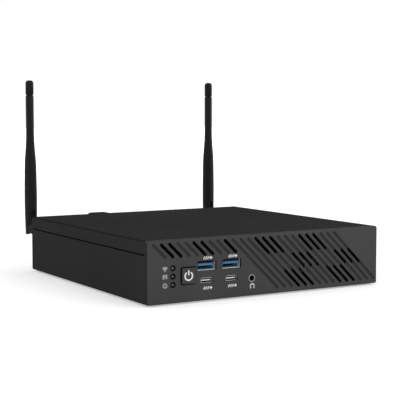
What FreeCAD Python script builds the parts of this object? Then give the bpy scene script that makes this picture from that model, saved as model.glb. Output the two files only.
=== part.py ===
import FreeCAD, Part
import math
import os

# Small form factor computer: a folded steel case with a moulded front bezel, front and rear sockets,
# a mainboard with its cooler, a 2.5 inch drive, and two swivelling antennas on the rear.
# Millimetres. X runs to the right seen from the front, Y from front to rear, Z up.
# The origin is the centre of the whole footprint, on the surface that the feet stand on.
# Inside this file a depth is measured to the rear from the bezel's face, and places on the front
# are given from its left edge and down from its top.

os.makedirs("parts", exist_ok=True)
V = FreeCAD.Vector

# Case
case_width = 175.0
case_depth = 178.0
case_height = 38.7
sheet = 1.0
bend_radius = 1.5
slip = 0.2
seam_drop = 8.5
seam_gap = 0.35
foot_height = 1.0
foot_radius = 6.5
foot_inset = 20.0
insert_radius = 3.5
insert_height = 2.6
insert_hole_radius = 1.65
insert_squares = (75.0, 100.0)
floor_slot_width = 3.0
floor_slot_length = 26.0
floor_slot_pitch = 5.5
floor_slot_count = 11

# Lid
rear_lip = 3.5
hump_left = 44.0
hump_width = 15.4
hump_length = 16.0
hump_height = 1.0
hump_slope = 2.0
thumbscrew_from_left = 52.0
thumbscrew_drop = 5.0
thumbscrew_head_radius = 5.0
thumbscrew_head_length = 6.2
thumbscrew_radius = 1.95
thumbscrew_length = 10.0
thumbscrew_boss_radius = 4.2
screw_tab_width = 15.0
screw_tab_drop = 11.0

# Front bezel
bezel_wall = 2.8
bezel_corner = 1.5
bezel_edge_round = 1.0
rim_depth = 6.0
rim_wall = 1.6
hook_width = 8.0
hook_thickness = 1.2
hook_barb = 1.0
hook_reach = 2.2
hook_spread = 62.0

# Slanted grooves, and the chequered slots that open some of them for air
groove_count = 25
short_groove_count = 10
first_solid_long_grooves = 3
slots_per_block = 3
groove_start = 3.09
groove_pitch = 5.607
groove_lean = 46.0
groove_width = 2.15
groove_depth = 0.8
slot_width = 2.0
groove_top = 1.6
short_groove_bottom = 11.4
long_groove_bottom = 36.1
slot_row_breaks = (13.5, 23.8)

# Front panel
led_from_left = 17.7
led_from_top = 22.3
led_pitch = 5.1
led_recess_radius = 1.95
led_recess_depth = 1.8
led_recess_taper = 0.15
light_pipe_radius = 0.8
light_pipe_setback = 0.15
button_from_left = 28.3
button_from_top = 22.5
button_opening = 11.0
button_gap = 0.6
button_proud = 1.0
button_travel = 1.0
button_corner = 1.1
button_flange = 1.2
button_stem_radius = 2.0
running_gap = 0.1
type_a_from_left = 41.5
type_a_from_top = 17.3
type_a_width = 13.1
type_a_height = 5.7
type_a_wall = 0.35
type_a_corner = 0.6
type_c_from_top = 26.35
type_c_width = 8.94
type_c_height = 3.26
type_c_wall = 0.3
socket_pitch = 18.0
socket_setback = 0.9
socket_clearance = 0.3
jack_from_left = 74.3
jack_from_top = 27.5
jack_collar_radius = 2.42
jack_bore_radius = 1.8
jack_bore_length = 13.0
jack_body_width = 7.0
front_board_depth = 14.2
board_thickness = 1.6
boss_radius = 2.4

# Mainboard and what stands on it
standoff_height = 5.0
standoff_flats = 5.0
screw_radius = 1.4
screw_head_radius = 2.75
screw_head_height = 1.8
mainboard_side_gap = 6.5
mainboard_front = 22.0
mainboard_rear_gap = 1.3
processor_x = 38.0
processor_depth = 46.0
processor_size = 37.5
socket_size = 44.0
socket_height = 2.4
die_cover_size = 30.0
die_cover_height = 2.2
cold_plate_width = 58.0
cold_plate_length = 44.0
cooler_screw_margin = 3.6
cold_plate_height = 4.0
pipe_radius = 2.5
pipe_bend = 8.0
pipe_side_gap = 10.5
fan_x = 29.0
fan_depth = 106.0
fan_wall = 1.2
fan_base_lift = 4.6
fan_height = 21.0
fan_scroll_reach = 36.0
fan_scroll_step = 2.5
fan_outlet_width = 36.0
fan_outlet_run = 9.0
fan_post_radius = 3.2
fan_rotor_radius = 26.5
fan_hub_radius = 11.5
fan_blade_count = 24
fan_blade_thickness = 0.8
fan_blade_curve = 14.0
fan_inlet_radius = 21.5
fan_shaft_radius = 1.5
fan_rotor_lift = 1.3
fan_rotor_room = 2.8
fan_rim_height = 1.0
fan_blade_sink = 0.3
fin_depth = 22.0
fin_thickness = 0.5
fin_count = 16
memory_length = 67.6
memory_width = 30.0
memory_x = -43.5
memory_first_depth = 36.0
memory_step = 36.0
ssd_length = 80.0
ssd_width = 22.0
ssd_x = -28.0
ssd_rear_gap = 2.0
card_thickness = 0.8
card_lift = 2.4
wireless_length = 30.0
wireless_x = -48.0
wireless_gap = 6.8
cell_radius = 10.0
cell_thickness = 3.2
cell_x = -15.0
cell_from_ssd = 18.8
drive_width = 69.85
drive_length = 100.2
drive_height = 7.0
drive_side_gap = 2.475
drive_depth = 30.0
drive_screw_first = 14.0
drive_screw_span = 76.6
bracket_lift = 11.0
bracket_sheet = 0.8
bracket_flange = 5.0

# Rear panel
rear_socket_proud = 0.5
rear_screw_inset = 5.5
rear_screw_heights = (6.2, 15.2)
ear_width = 8.5
ear_height = 18.2
dc_x = -70.0
dc_width = 9.0
dc_height = 11.0
dc_length = 14.5
dc_bore_radius = 3.1
dc_bore_length = 9.5
dc_pin_radius = 1.0
video_x = -52.0
video_pitch = 18.0
video_width = 15.0
video_height = 5.6
video_length = 12.0
network_x = -14.5
network_width = 16.0
network_height = 13.5
network_length = 16.5
network_mouth_width = 11.8
network_mouth_height = 8.2
network_mouth_depth = 12.5
stack_x = 3.5
stack_pitch = 17.5
stack_width = 14.6
stack_height = 15.6
stack_length = 16.5
vent_slot_width = 2.2
vent_slot_pitch = 3.6
vent_slot_count = 9
lock_slot_width = 7.2
lock_slot_height = 3.2
lock_slot_x = -60.0
lock_slot_lift = 26.0

# Antennas
antenna_left_inset = 7.5
antenna_right_inset = 12.8
antenna_offset = 20.0
antenna_pivot = 28.3
antenna_tip = 138.0
antenna_foot_radius = 4.6
antenna_base_radius = 4.05
antenna_belly_radius = 4.6
antenna_belly_height = 50.0
antenna_taper_radius = 4.45
antenna_taper_start = 68.0
antenna_taper_end = 101.0
antenna_shaft_radius = 2.95
antenna_neck_height = 127.0
antenna_neck_radius = 2.45
antenna_neck_width = 0.9
antenna_slot_width = 3.4
antenna_slot_room = 0.4
antenna_groove_top = 42.0
antenna_groove_floor = 3.0
antenna_tip_round = 2.2
antenna_pin_radius = 1.0
knuckle_radius = 4.3
knuckle_eye_radius = 4.2
knuckle_stub_radius = 2.85
knuckle_side_gap = 0.1
sleeve_radius = 4.6
sleeve_flutes = 18
sleeve_flute_radius = 0.5
coax_thread_radius = 3.1
coax_nut_flats = 8.0
coax_nut_height = 2.4
coax_thread_length = 10.2

# Places worked out from the sizes above
overall_depth = button_proud + case_depth + antenna_offset + antenna_foot_radius
front_y = button_proud - overall_depth / 2
under_z = foot_height
floor_z = under_z + sheet
top_z = under_z + case_height
lid_under_z = top_z - sheet
side_x = case_width / 2
inner_x = side_x - sheet
seam_z = top_z - seam_drop
rim_back = bezel_wall + rim_depth
front_wall_depth = rim_back
panel_back = case_depth - sheet - slip
panel_front = panel_back - sheet
board_z = floor_z + standoff_height
board_top = board_z + board_thickness
mainboard_rear = panel_front - mainboard_rear_gap
socket_mouth = panel_back + rear_socket_proud
mainboard_width = 2 * (inner_x - mainboard_side_gap)
thumbscrew_x = thumbscrew_from_left - side_x
thumbscrew_z = top_z - thumbscrew_drop
fan_floor = board_top + fan_base_lift
fan_top = fan_floor + fan_height
fan_right = fan_x + fan_scroll_reach
fan_left = fan_right - fan_outlet_width
fins_front = fan_depth + fan_scroll_reach + fan_outlet_run
pipe_z = board_top + socket_height + die_cover_height + cold_plate_height - 0.5
fins_centre = fins_front + fin_depth / 2
pipe_x = inner_x - pipe_side_gap
drive_floor = board_top + bracket_lift + bracket_sheet
drive_x = drive_side_gap + bracket_sheet + running_gap + drive_width / 2 - (inner_x - slip - sheet)
ssd_depth = socket_mouth - network_length - ssd_rear_gap - ssd_width
wireless_depth = ssd_depth - wireless_gap - ssd_width
cell_depth = ssd_depth - cell_from_ssd
rear_screw_x = side_x - rear_screw_inset
antenna_left_x = antenna_left_inset - side_x
antenna_right_x = side_x - antenna_right_inset


def block(x0, x1, d0, d1, z0, z1):
    """Box between two X places, two depths behind the bezel's face and two heights."""
    return Part.makeBox(x1 - x0, d1 - d0, z1 - z0, V(x0, front_y + d0, z0))


def rod_x(depth, z, radius, x0, x1):
    return Part.makeCylinder(radius, x1 - x0, V(x0, front_y + depth, z), V(1, 0, 0))


def rod_y(x, z, radius, d0, d1):
    return Part.makeCylinder(radius, d1 - d0, V(x, front_y + d0, z), V(0, 1, 0))


def rod_z(x, depth, radius, z0, z1):
    return Part.makeCylinder(radius, z1 - z0, V(x, front_y + depth, z0), V(0, 0, 1))


def arc(start, middle, end):
    return Part.Arc(start, middle, end).toShape()


def prism(edges, direction):
    """Solid from a closed run of edges, pushed along a direction."""
    return Part.Face(Part.Wire(edges)).extrude(direction)


def rounded_bar(x, z, width, height, radius, d0, d1):
    """Bar along Y whose section is a rectangle with rounded corners, or a slot when the radius is half."""
    y = front_y + d0
    across = width / 2 - radius
    up = height / 2 - radius
    edges = []
    corners = ((1, 1), (-1, 1), (-1, -1), (1, -1))
    ends = []
    for side, level in corners:
        centre = V(x + side * across, y, z + level * up)
        flat = centre + V(side * radius, 0, 0)
        tall = centre + V(0, 0, level * radius)
        middle = centre + V(side * radius, 0, level * radius).normalize() * radius
        first, last = (flat, tall) if side == level else (tall, flat)
        edges.append(arc(first, middle, last))
        ends.append((first, last))
    for here in range(4):
        start = ends[here][1]
        end = ends[(here + 1) % 4][0]
        if start.distanceToPoint(end) > 1e-6:
            edges.append(Part.LineSegment(start, end).toShape())
    return prism(Part.__sortEdges__(edges), V(0, d1 - d0, 0))


def polygon_bar(x, z, points, d0, d1):
    """Bar along Y whose section is a closed run of points about a centre."""
    y = front_y + d0
    corners = [V(x + across, y, z + up) for across, up in points]
    face = Part.Face(Part.makePolygon(corners + corners[:1]))
    return face.extrude(V(0, d1 - d0, 0))


def hexagon(flats):
    """Six corners of a hexagon that measures the given size across its flats."""
    radius = flats / math.sqrt(3)
    return [(radius * math.cos(math.radians(a)), radius * math.sin(math.radians(a))) for a in range(0, 360, 60)]


def hex_post(x, depth, flats, z0, z1):
    corners = [V(x + across, front_y + depth + along, z0) for across, along in hexagon(flats)]
    return Part.Face(Part.makePolygon(corners + corners[:1])).extrude(V(0, 0, z1 - z0))


def turned(profile, centre, axis):
    """Solid turned about an axis from a closed run of edges."""
    return Part.Face(Part.Wire(profile)).revolve(centre, axis, 360)


def line(start, end):
    return Part.LineSegment(start, end).toShape()


def loop(points):
    """Straight edges that join the points and close."""
    return [line(points[i], points[(i + 1) % len(points)]) for i in range(len(points))]


def spindle(x, z, steps):
    """Solid turned about a line along Y, from (depth, radius) steps."""
    points = [V(x, front_y + steps[0][0], z)]
    points += [V(x + radius, front_y + depth, z) for depth, radius in steps]
    points.append(V(x, front_y + steps[-1][0], z))
    return turned(loop(points), V(x, front_y, z), V(0, 1, 0))


def pillar(x, depth, steps):
    """Solid turned about a line along Z, from (height, radius) steps."""
    y = front_y + depth
    points = [V(x, y, steps[0][0])]
    points += [V(x + radius, y, z) for z, radius in steps]
    points.append(V(x, y, steps[-1][0]))
    return turned(loop(points), V(x, y, 0), V(0, 0, 1))


def fuse(first, others):
    return first.fuse(others).removeSplitter() if others else first


def straight_edges(shape, along, test):
    """Straight edges that run along X, Y or Z and whose two ends pass a test, for fillets."""
    found = []
    for edge in shape.Edges:
        if len(edge.Vertexes) == 2 and all(test(v) for v in edge.Vertexes):
            box = edge.BoundBox
            spans = {"X": box.XLength, "Y": box.YLength, "Z": box.ZLength}
            if spans.pop(along) > 1.0 and max(spans.values()) < 1e-4:
                found.append(edge)
    return found


def from_left(distance):
    return distance - side_x


def from_top(distance):
    return top_z - distance


# Folded steel case

def tray_floor_openings():
    """Threaded holes for a mounting plate and a row of air slots under the drive."""
    cuts = []
    for square in insert_squares:
        for side in (-1, 1):
            for end in (-1, 1):
                depth = case_depth / 2 + end * square / 2
                cuts.append(rod_z(side * square / 2, depth, insert_hole_radius, under_z - 1, board_z))
    row = (floor_slot_count - 1) * floor_slot_pitch
    for number in range(floor_slot_count):
        x = drive_x - row / 2 + number * floor_slot_pitch
        middle = case_depth / 2
        half = floor_slot_width / 2
        run = floor_slot_length / 2 - half
        cuts.append(block(x - half, x + half, middle - run, middle + run, under_z - 1, floor_z + 1))
        cuts.append(rod_z(x, middle - run, half, under_z - 1, floor_z + 1))
        cuts.append(rod_z(x, middle + run, half, under_z - 1, floor_z + 1))
    return cuts


def base_tray():
    """Floor, side walls with a joggle that slips inside the lid, front wall and two rear ears."""
    lower_top = seam_z - seam_gap
    tray = block(-side_x, side_x, bezel_wall + running_gap, case_depth, under_z, lower_top)
    tray = tray.cut(block(-inner_x, inner_x, 0, case_depth + 1, floor_z, top_z))
    outer = straight_edges(tray, "Y", lambda v: abs(abs(v.X) - side_x) < 1e-6 and abs(v.Z - under_z) < 1e-6)
    tray = tray.makeFillet(bend_radius, outer)
    inner = straight_edges(tray, "Y", lambda v: abs(abs(v.X) - inner_x) < 1e-6 and abs(v.Z - floor_z) < 1e-6)
    tray = tray.makeFillet(bend_radius - sheet, inner)
    extras = []
    back_of_wall = front_wall_depth + sheet + slip
    for side in (-1, 1):
        tongue = sorted((side * (inner_x - slip - sheet), side * (inner_x - slip)))
        ledge = sorted((side * (inner_x - slip - sheet), side * (inner_x + sheet / 2)))
        extras.append(block(*ledge, back_of_wall, panel_front - slip, lower_top - sheet, lower_top))
        extras.append(block(*tongue, back_of_wall, panel_front - slip, lower_top - sheet, lid_under_z))
        ear = sorted((side * (inner_x + sheet / 2), side * (inner_x - ear_width)))
        plate = block(*ear, panel_front - sheet, panel_front, floor_z - sheet / 2, floor_z + ear_height)
        holes = [rod_y(side * rear_screw_x, floor_z + up, screw_radius, 0, case_depth) for up in rear_screw_heights]
        extras.append(plate.cut(holes))
    for square in insert_squares:
        for side in (-1, 1):
            for end in (-1, 1):
                depth = case_depth / 2 + end * square / 2
                extras.append(rod_z(side * square / 2, depth, insert_radius, under_z + sheet / 2, floor_z + insert_height))
    extras.append(front_wall())
    tray = fuse(tray, extras)
    return tray.cut(tray_floor_openings())


def front_wall():
    """Wall behind the bezel, with a window for the sockets, air windows, and notches for the bezel's hooks."""
    reach = inner_x + sheet / 2
    top = lid_under_z
    back = front_wall_depth + sheet
    wall = block(-reach, reach, front_wall_depth, back, floor_z - sheet / 2, top)
    trim = inner_x - slip
    cuts = []
    for side in (-1, 1):
        edge = sorted((side * trim, side * (reach + 1)))
        cuts.append(block(*edge, 0, case_depth, floor_z + bend_radius, top + 1))
    low = floor_z + hook_thickness + hook_barb + 1.0
    high = top - hook_thickness - hook_barb - 1.0
    middle = from_left(jack_from_left + jack_body_width)
    cuts.append(block(-trim + 4, middle, 0, case_depth, low, high))
    bar = 3.0
    width = (trim - 4 - middle - bar) / 3
    for number in range(3):
        start = middle + bar + number * width
        cuts.append(block(start, start + width - bar, 0, case_depth, low, high))
    for x in (-hook_spread, 0, hook_spread):
        half = hook_width / 2 + slip * 2
        notch = hook_thickness + 3 * slip
        cuts.append(block(x - half, x + half, 0, case_depth, top - notch, top + 1))
        cuts.append(block(x - half, x + half, 0, case_depth, floor_z, floor_z + notch))
    return wall.cut(cuts)


def lid_hump(grow):
    """Tapered raised pocket at the lid's rear edge that clears the captive screw's boss."""
    left = from_left(hump_left)
    rear = case_depth - grow
    foot = top_z - sheet / 2 - grow
    crown = top_z + hump_height - grow
    rings = []
    for z, inset in ((foot, 0.0), (crown, hump_slope)):
        x0 = left + inset + grow
        x1 = left + hump_width - inset - grow
        d0 = case_depth - hump_length + inset + grow
        d1 = rear - inset * 0.4
        corners = [V(x0, front_y + d0, z), V(x1, front_y + d0, z), V(x1, front_y + d1, z), V(x0, front_y + d1, z)]
        rings.append(Part.makePolygon(corners + corners[:1]))
    return Part.makeLoft(rings, True, True)


def top_lid():
    """Top sheet with side flanges, a shallow rear lip, the screw tab and the raised pocket above it."""
    front = bezel_wall + running_gap
    lid = block(-side_x, side_x, front, case_depth, seam_z, top_z)
    lid = lid.cut(block(-inner_x, inner_x, 0, case_depth - sheet, 0, lid_under_z))
    rear_cut = block(-inner_x, inner_x, case_depth - 2 * sheet, case_depth + 1, 0, top_z - rear_lip)
    lid = lid.cut(rear_cut)
    half = screw_tab_width / 2
    tab = rounded_bar(thumbscrew_x, top_z - screw_tab_drop / 2, screw_tab_width, screw_tab_drop, 2.0,
                      case_depth - sheet, case_depth)
    tab = tab.common(block(thumbscrew_x - half, thumbscrew_x + half, 0, case_depth + 1, 0, top_z - sheet))
    lid = fuse(lid, [tab])
    top_sides = straight_edges(lid, "Y", lambda v: abs(abs(v.X) - side_x) < 1e-6 and abs(v.Z - top_z) < 1e-6)
    rear_y = front_y + case_depth
    top_rear = straight_edges(lid, "X", lambda v: abs(v.Y - rear_y) < 1e-6 and abs(v.Z - top_z) < 1e-6)
    lid = lid.makeFillet(bend_radius, top_sides + top_rear)
    lid = fuse(lid, [lid_hump(0.0)])
    room = lid_hump(sheet * 0.8)
    under = block(from_left(hump_left) + hump_slope, from_left(hump_left + hump_width) - hump_slope,
                  case_depth - hump_length + hump_slope, case_depth - sheet, lid_under_z - 1, top_z - sheet / 2)
    lid = lid.cut([room, under])
    hole = rod_y(thumbscrew_x, thumbscrew_z, thumbscrew_radius + slip, panel_back, case_depth + 1)
    return lid.cut(hole)


def rear_panel():
    """Plate between the side walls, cut out for every rear socket, the antennas, the lock and the exhaust."""
    reach = inner_x - slip
    plate = block(-reach, reach, panel_front, panel_back, floor_z, lid_under_z - slip)
    boss = rod_y(thumbscrew_x, thumbscrew_z, thumbscrew_boss_radius, panel_front - thumbscrew_length + 1, panel_back)
    plate = fuse(plate, [boss])
    through = (panel_front - 20, case_depth + 1)
    c = 2 * socket_clearance
    cuts = [rod_y(thumbscrew_x, thumbscrew_z, thumbscrew_radius + 0.05, *through)]
    cuts.append(rounded_bar(dc_x, board_top + dc_height / 2, dc_width + c, dc_height + c, 0.5, *through))
    for number in range(2):
        x = video_x + number * video_pitch
        z = board_top + video_height / 2 + 0.6
        cuts.append(polygon_bar(x, z, video_section(socket_clearance), *through))
        stack = stack_x + number * stack_pitch
        cuts.append(rounded_bar(stack, board_top + stack_height / 2, stack_width + c, stack_height + c, 0.5, *through))
    cuts.append(rounded_bar(network_x, board_top + network_height / 2, network_width + c, network_height + c,
                            0.5, *through))
    row = (vent_slot_count - 1) * vent_slot_pitch
    centre = (fan_left + fan_right) / 2
    low = board_top + 2 * vent_slot_width
    height = (fan_top - low) / 2
    for number in range(vent_slot_count):
        x = centre - row / 2 + number * vent_slot_pitch
        for level in (0, 1):
            z = low + (level + 0.5) * height
            cuts.append(rounded_bar(x, z, vent_slot_width, height - vent_slot_width, vent_slot_width / 2, *through))
    for x in (antenna_left_x, antenna_right_x):
        cuts.append(rod_y(x, under_z + antenna_pivot, coax_thread_radius + running_gap, *through))
    cuts.append(rounded_bar(lock_slot_x, floor_z + lock_slot_lift, lock_slot_width, lock_slot_height, 0.6, *through))
    for side in (-1, 1):
        for up in rear_screw_heights:
            cuts.append(rod_y(side * rear_screw_x, floor_z + up, screw_radius + slip, *through))
    return plate.cut(cuts)


def pan_screw_y(x, z, seat, length):
    """Pan head screw that points to the front, with its head behind a seat."""
    r = screw_head_radius
    h = screw_head_height
    steps = [(seat - length, screw_radius - 0.05), (seat, screw_radius - 0.05), (seat, r)]
    steps += [(seat + h * 0.6, r), (seat + h, r * 0.6)]
    screw = spindle(x, z, steps)
    recess = [(0.35, 1.5), (-0.35, 1.5), (-0.35, -1.5), (0.35, -1.5)]
    across = [(up, side) for side, up in recess]
    cuts = [polygon_bar(x, z, recess, seat + h * 0.4, seat + h + 1)]
    cuts.append(polygon_bar(x, z, across, seat + h * 0.4, seat + h + 1))
    return screw.cut(cuts)


def pan_screw_z(x, depth, seat, length):
    """Pan head screw that points down, with its head above a seat."""
    r = screw_head_radius
    h = screw_head_height
    steps = [(seat - length, screw_radius - 0.05), (seat, screw_radius - 0.05), (seat, r)]
    steps += [(seat + h * 0.6, r), (seat + h, r * 0.6)]
    return pillar(x, depth, steps)


def feet():
    solids = []
    for side in (-1, 1):
        for depth in (foot_inset, case_depth - foot_inset):
            soft = foot_height * 0.25
            steps = [(0.0, foot_radius - soft * 1.6), (soft, foot_radius - soft * 0.6), (foot_height, foot_radius)]
            solids.append(pillar(side * (side_x - foot_inset), depth, steps))
    return Part.makeCompound(solids)


def lid_thumbscrew():
    """Captive screw with a tall head, a driver slot and a relieved neck."""
    seat = case_depth
    r = thumbscrew_head_radius
    end = seat + thumbscrew_head_length
    steps = [(seat - thumbscrew_length, thumbscrew_radius - 0.4), (seat - thumbscrew_length + 0.6, thumbscrew_radius)]
    steps += [(seat, thumbscrew_radius), (seat, r - 1.0), (seat + 0.9, r - 1.0), (seat + 1.2, r), (end - 0.6, r)]
    steps += [(end, r - 0.6)]
    screw = spindle(thumbscrew_x, thumbscrew_z, steps)
    slot = [(0.6, r + 1), (-0.6, r + 1), (-0.6, -r - 1), (0.6, -r - 1)]
    return screw.cut(polygon_bar(thumbscrew_x, thumbscrew_z, slot, end - 1.6, end + 1))


def rear_panel_screws():
    solids = []
    for side in (-1, 1):
        for up in rear_screw_heights:
            solids.append(pan_screw_y(side * rear_screw_x, floor_z + up, panel_back, 6.0))
    return Part.makeCompound(solids)


# Front bezel

def groove_line(number, v0, v1, half):
    """Ends of the centre line of one slanted groove, whose round ends reach down from v0 to v1."""
    slope = math.tan(math.radians(groove_lean))
    ends = []
    for v in (v0 + half, v1 - half):
        u = groove_start + (number - 1) * groove_pitch + (v - groove_top) * slope
        ends.append((from_left(u), from_top(v)))
    return ends


def groove_capsule(number, v1):
    """Round-bottomed shallow groove with round ends, cut from in front of the bezel's face."""
    half = groove_width / 2
    radius = (half * half + groove_depth * groove_depth) / (2 * groove_depth)
    (x0, z0), (x1, z1) = groove_line(number, groove_top, v1, half)
    y = front_y - (radius - groove_depth)
    start = V(x0, y, z0)
    run = V(x1, y, z1) - start
    tool = Part.makeCylinder(radius, run.Length, start, run)
    return tool.fuse([Part.makeSphere(radius, start), Part.makeSphere(radius, start + run)])


def slanted_slot(number, v0, v1):
    """Slot with round ends that goes right through the bezel's wall along a groove."""
    half = slot_width / 2
    (x0, z0), (x1, z1) = groove_line(number, v0, v1, half)
    y = front_y - 1
    start = V(x0, y, z0)
    end = V(x1, y, z1)
    along = (end - start).normalize()
    side = V(-along.z, 0, along.x) * half
    edges = [line(start + side, end + side), arc(end + side, end + along * half, end - side)]
    edges += [line(end - side, start - side), arc(start - side, start - along * half, start + side)]
    return prism(edges, V(0, bezel_wall + 2, 0))


def groove_tools():
    """All grooves, and the slots: pairs of short ones, then blocks of three that alternate row by row."""
    tools = []
    rows = [groove_top, *slot_row_breaks, long_groove_bottom]
    first_block = short_groove_count + first_solid_long_grooves + 1
    for number in range(1, groove_count + 1):
        short = number <= short_groove_count
        bottom = short_groove_bottom if short else long_groove_bottom
        tools.append(groove_capsule(number, bottom))
        if short and (number - 2) % 4 < 2:
            tools.append(slanted_slot(number, groove_top, bottom))
        if number >= first_block:
            block_number = (number - first_block) // slots_per_block
            for row in range(3):
                if (block_number + row) % 2 == 0:
                    tools.append(slanted_slot(number, rows[row], rows[row + 1]))
    return tools


def led_places():
    x = from_left(led_from_left)
    return [(x, from_top(led_from_top + step * led_pitch)) for step in (-1, 0, 1)]


def socket_places():
    """X of the two socket columns, and the heights of the upper and the lower row."""
    columns = [from_left(type_a_from_left + step * socket_pitch) for step in (0, 1)]
    return columns, from_top(type_a_from_top), from_top(type_c_from_top)


def boss_places():
    """Three screw bosses for the front board, set between the sockets."""
    columns, upper, lower = socket_places()
    left = (from_left(8.0), from_top(31.0))
    between = ((columns[0] + columns[1]) / 2, lower - 4.6)
    right = ((columns[1] + type_a_width / 2 + from_left(jack_from_left) - jack_body_width / 2) / 2, upper - 6.4)
    return [left, between, right]


def panel_openings():
    """Cut-outs for the lights, the button, the sockets and the headset collar."""
    columns, upper, lower = socket_places()
    cuts = []
    for x, z in led_places():
        cuts.append(spindle(x, z, [(-1.0, led_recess_radius), (0.0, led_recess_radius),
                                   (led_recess_depth, led_recess_radius - led_recess_taper)]))
        cuts.append(rod_y(x, z, light_pipe_radius + 0.05, 0, bezel_wall + 1))
    cuts.append(rounded_bar(from_left(button_from_left), from_top(button_from_top), button_opening, button_opening,
                            button_corner, -1, bezel_wall + 1))
    c = 2 * socket_clearance
    for x in columns:
        cuts.append(rounded_bar(x, upper, type_a_width + c, type_a_height + c, type_a_corner + socket_clearance,
                                -1, bezel_wall + 1))
        cuts.append(rounded_bar(x, lower, type_c_width + c, type_c_height + c, (type_c_height + c) / 2 - 0.01,
                                -1, bezel_wall + 1))
    cuts.append(rod_y(from_left(jack_from_left), from_top(jack_from_top), jack_collar_radius + running_gap,
                      -1, bezel_wall + 1))
    return cuts


def bezel_hooks():
    """Snap hooks on the rim that catch behind the case's front wall, top and bottom."""
    edge = sheet + slip
    wall_back = front_wall_depth + sheet
    tip = wall_back + hook_reach
    solids = []
    for x in (-hook_spread, 0, hook_spread):
        x0 = x - hook_width / 2
        x1 = x + hook_width / 2
        for level, sign in ((top_z - edge - 0.2, -1), (under_z + edge + 0.2, 1)):
            arm = sorted((level, level + sign * hook_thickness))
            barb = [V(x0, front_y + wall_back + running_gap, level + sign * hook_thickness / 2)]
            barb.append(V(x0, front_y + wall_back + running_gap, level + sign * (hook_thickness + hook_barb)))
            barb.append(V(x0, front_y + tip, level + sign * hook_thickness))
            barb.append(V(x0, front_y + tip, level + sign * hook_thickness / 2))
            solids.append(block(x0, x1, rim_back - 1, tip, *arm))
            solids.append(prism(loop(barb), V(hook_width, 0, 0)))
    return solids


def front_bezel():
    """Moulded face with its rim, hooks, bosses and button rails, then every groove, slot and opening."""
    middle = (under_z + top_z) / 2
    face = rounded_bar(0, middle, case_width, case_height, bezel_corner, 0, bezel_wall)
    front_edges = [edge for edge in face.Edges if all(abs(v.Y - front_y) < 1e-6 for v in edge.Vertexes)]
    face = face.makeFillet(bezel_edge_round, front_edges)
    edge = sheet + slip
    rim = rounded_bar(0, middle, case_width - 2 * edge, case_height - 2 * edge, bezel_corner, bezel_wall / 2, rim_back)
    wall = edge + rim_wall
    rim = rim.cut(rounded_bar(0, middle, case_width - 2 * wall, case_height - 2 * wall, 0.5,
                              bezel_wall / 4, rim_back + 1))
    additions = [rim] + bezel_hooks()
    for x, z in boss_places():
        additions.append(rod_y(x, z, boss_radius, bezel_wall / 2, front_board_depth))
    x = from_left(button_from_left)
    z = from_top(button_from_top)
    rail = button_opening / 2 + button_gap + running_gap
    for sign in (-1, 1):
        ends = sorted((z + sign * rail, z + sign * (rail + 1.2)))
        additions.append(block(x - 4, x + 4, bezel_wall / 2, bezel_wall + 4.2, *ends))
    bezel = fuse(face, additions)
    holes = [rod_y(x, z, screw_radius - 0.3, front_board_depth - 8, front_board_depth + 1) for x, z in boss_places()]
    return bezel.cut(groove_tools() + panel_openings() + holes)


# Front panel pieces

def power_button():
    """Square cap that stands slightly proud, with a flange behind the bezel and a stem to the switch."""
    x = from_left(button_from_left)
    z = from_top(button_from_top)
    size = button_opening - 2 * button_gap
    flange_front = bezel_wall + running_gap
    cap = rounded_bar(x, z, size, size, button_corner - 0.3, -button_proud, flange_front + button_flange / 2)
    rounds = [edge for edge in cap.Edges if all(abs(v.Y - front_y + button_proud) < 1e-6 for v in edge.Vertexes)]
    cap = cap.makeFillet(0.4, rounds)
    width = button_opening + 2 * button_gap
    flange = rounded_bar(x, z, width, width, 0.8, flange_front, flange_front + button_flange)
    stem = rod_y(x, z, button_stem_radius, flange_front, power_switch_tip() - button_travel - running_gap)
    return fuse(cap, [flange, stem])


def power_switch_tip():
    return front_board_depth - 4.5


def power_switch():
    """Small push switch soldered to the front board behind the button's stem."""
    x = from_left(button_from_left)
    z = from_top(button_from_top)
    body = block(x - 3, x + 3, front_board_depth - 3.5, front_board_depth, z - 3, z + 3)
    return fuse(body, [rod_y(x, z, 1.6, power_switch_tip(), front_board_depth - 3)])


def light_pipe():
    """One clear moulding: three domed rods joined by a bridge."""
    x = from_left(led_from_left)
    rods = []
    for place, z in led_places():
        r = light_pipe_radius
        start = light_pipe_setback
        rods.append(spindle(place, z, [(start, r * 0.55), (start + 0.25, r * 0.9), (start + 0.6, r),
                                       (front_board_depth - 1.1, r)]))
    top = from_top(led_from_top - led_pitch)
    low = from_top(led_from_top + led_pitch)
    bridge = block(x - light_pipe_radius, x + light_pipe_radius, bezel_wall, bezel_wall + 1.5, low, top)
    return fuse(rods[0], rods[1:] + [bridge])


def front_io_board():
    """Upright circuit board behind the sockets, with three light chips in front of it."""
    left = from_left(4.0)
    right = from_left(jack_from_left + jack_body_width)
    back = front_board_depth + board_thickness
    board = block(left, right, front_board_depth, back, from_top(35.0), from_top(7.0))
    chips = [block(x - 1, x + 1, front_board_depth - 0.8, front_board_depth + 0.2, z - 0.7, z + 0.7)
             for x, z in led_places()]
    board = fuse(board, chips)
    return board.cut([rod_y(x, z, screw_radius + 0.1, 0, back + 1) for x, z in boss_places()])


def front_board_screws():
    seat = front_board_depth + board_thickness
    shrink = 0.35
    solids = []
    for x, z in boss_places():
        steps = [(seat - 8, screw_radius - shrink), (seat, screw_radius - shrink), (seat, screw_head_radius - 0.4)]
        steps += [(seat + 1.0, screw_head_radius - 0.4), (seat + 1.6, screw_head_radius * 0.5)]
        solids.append(spindle(x, z, steps))
    return Part.makeCompound(solids)


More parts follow.
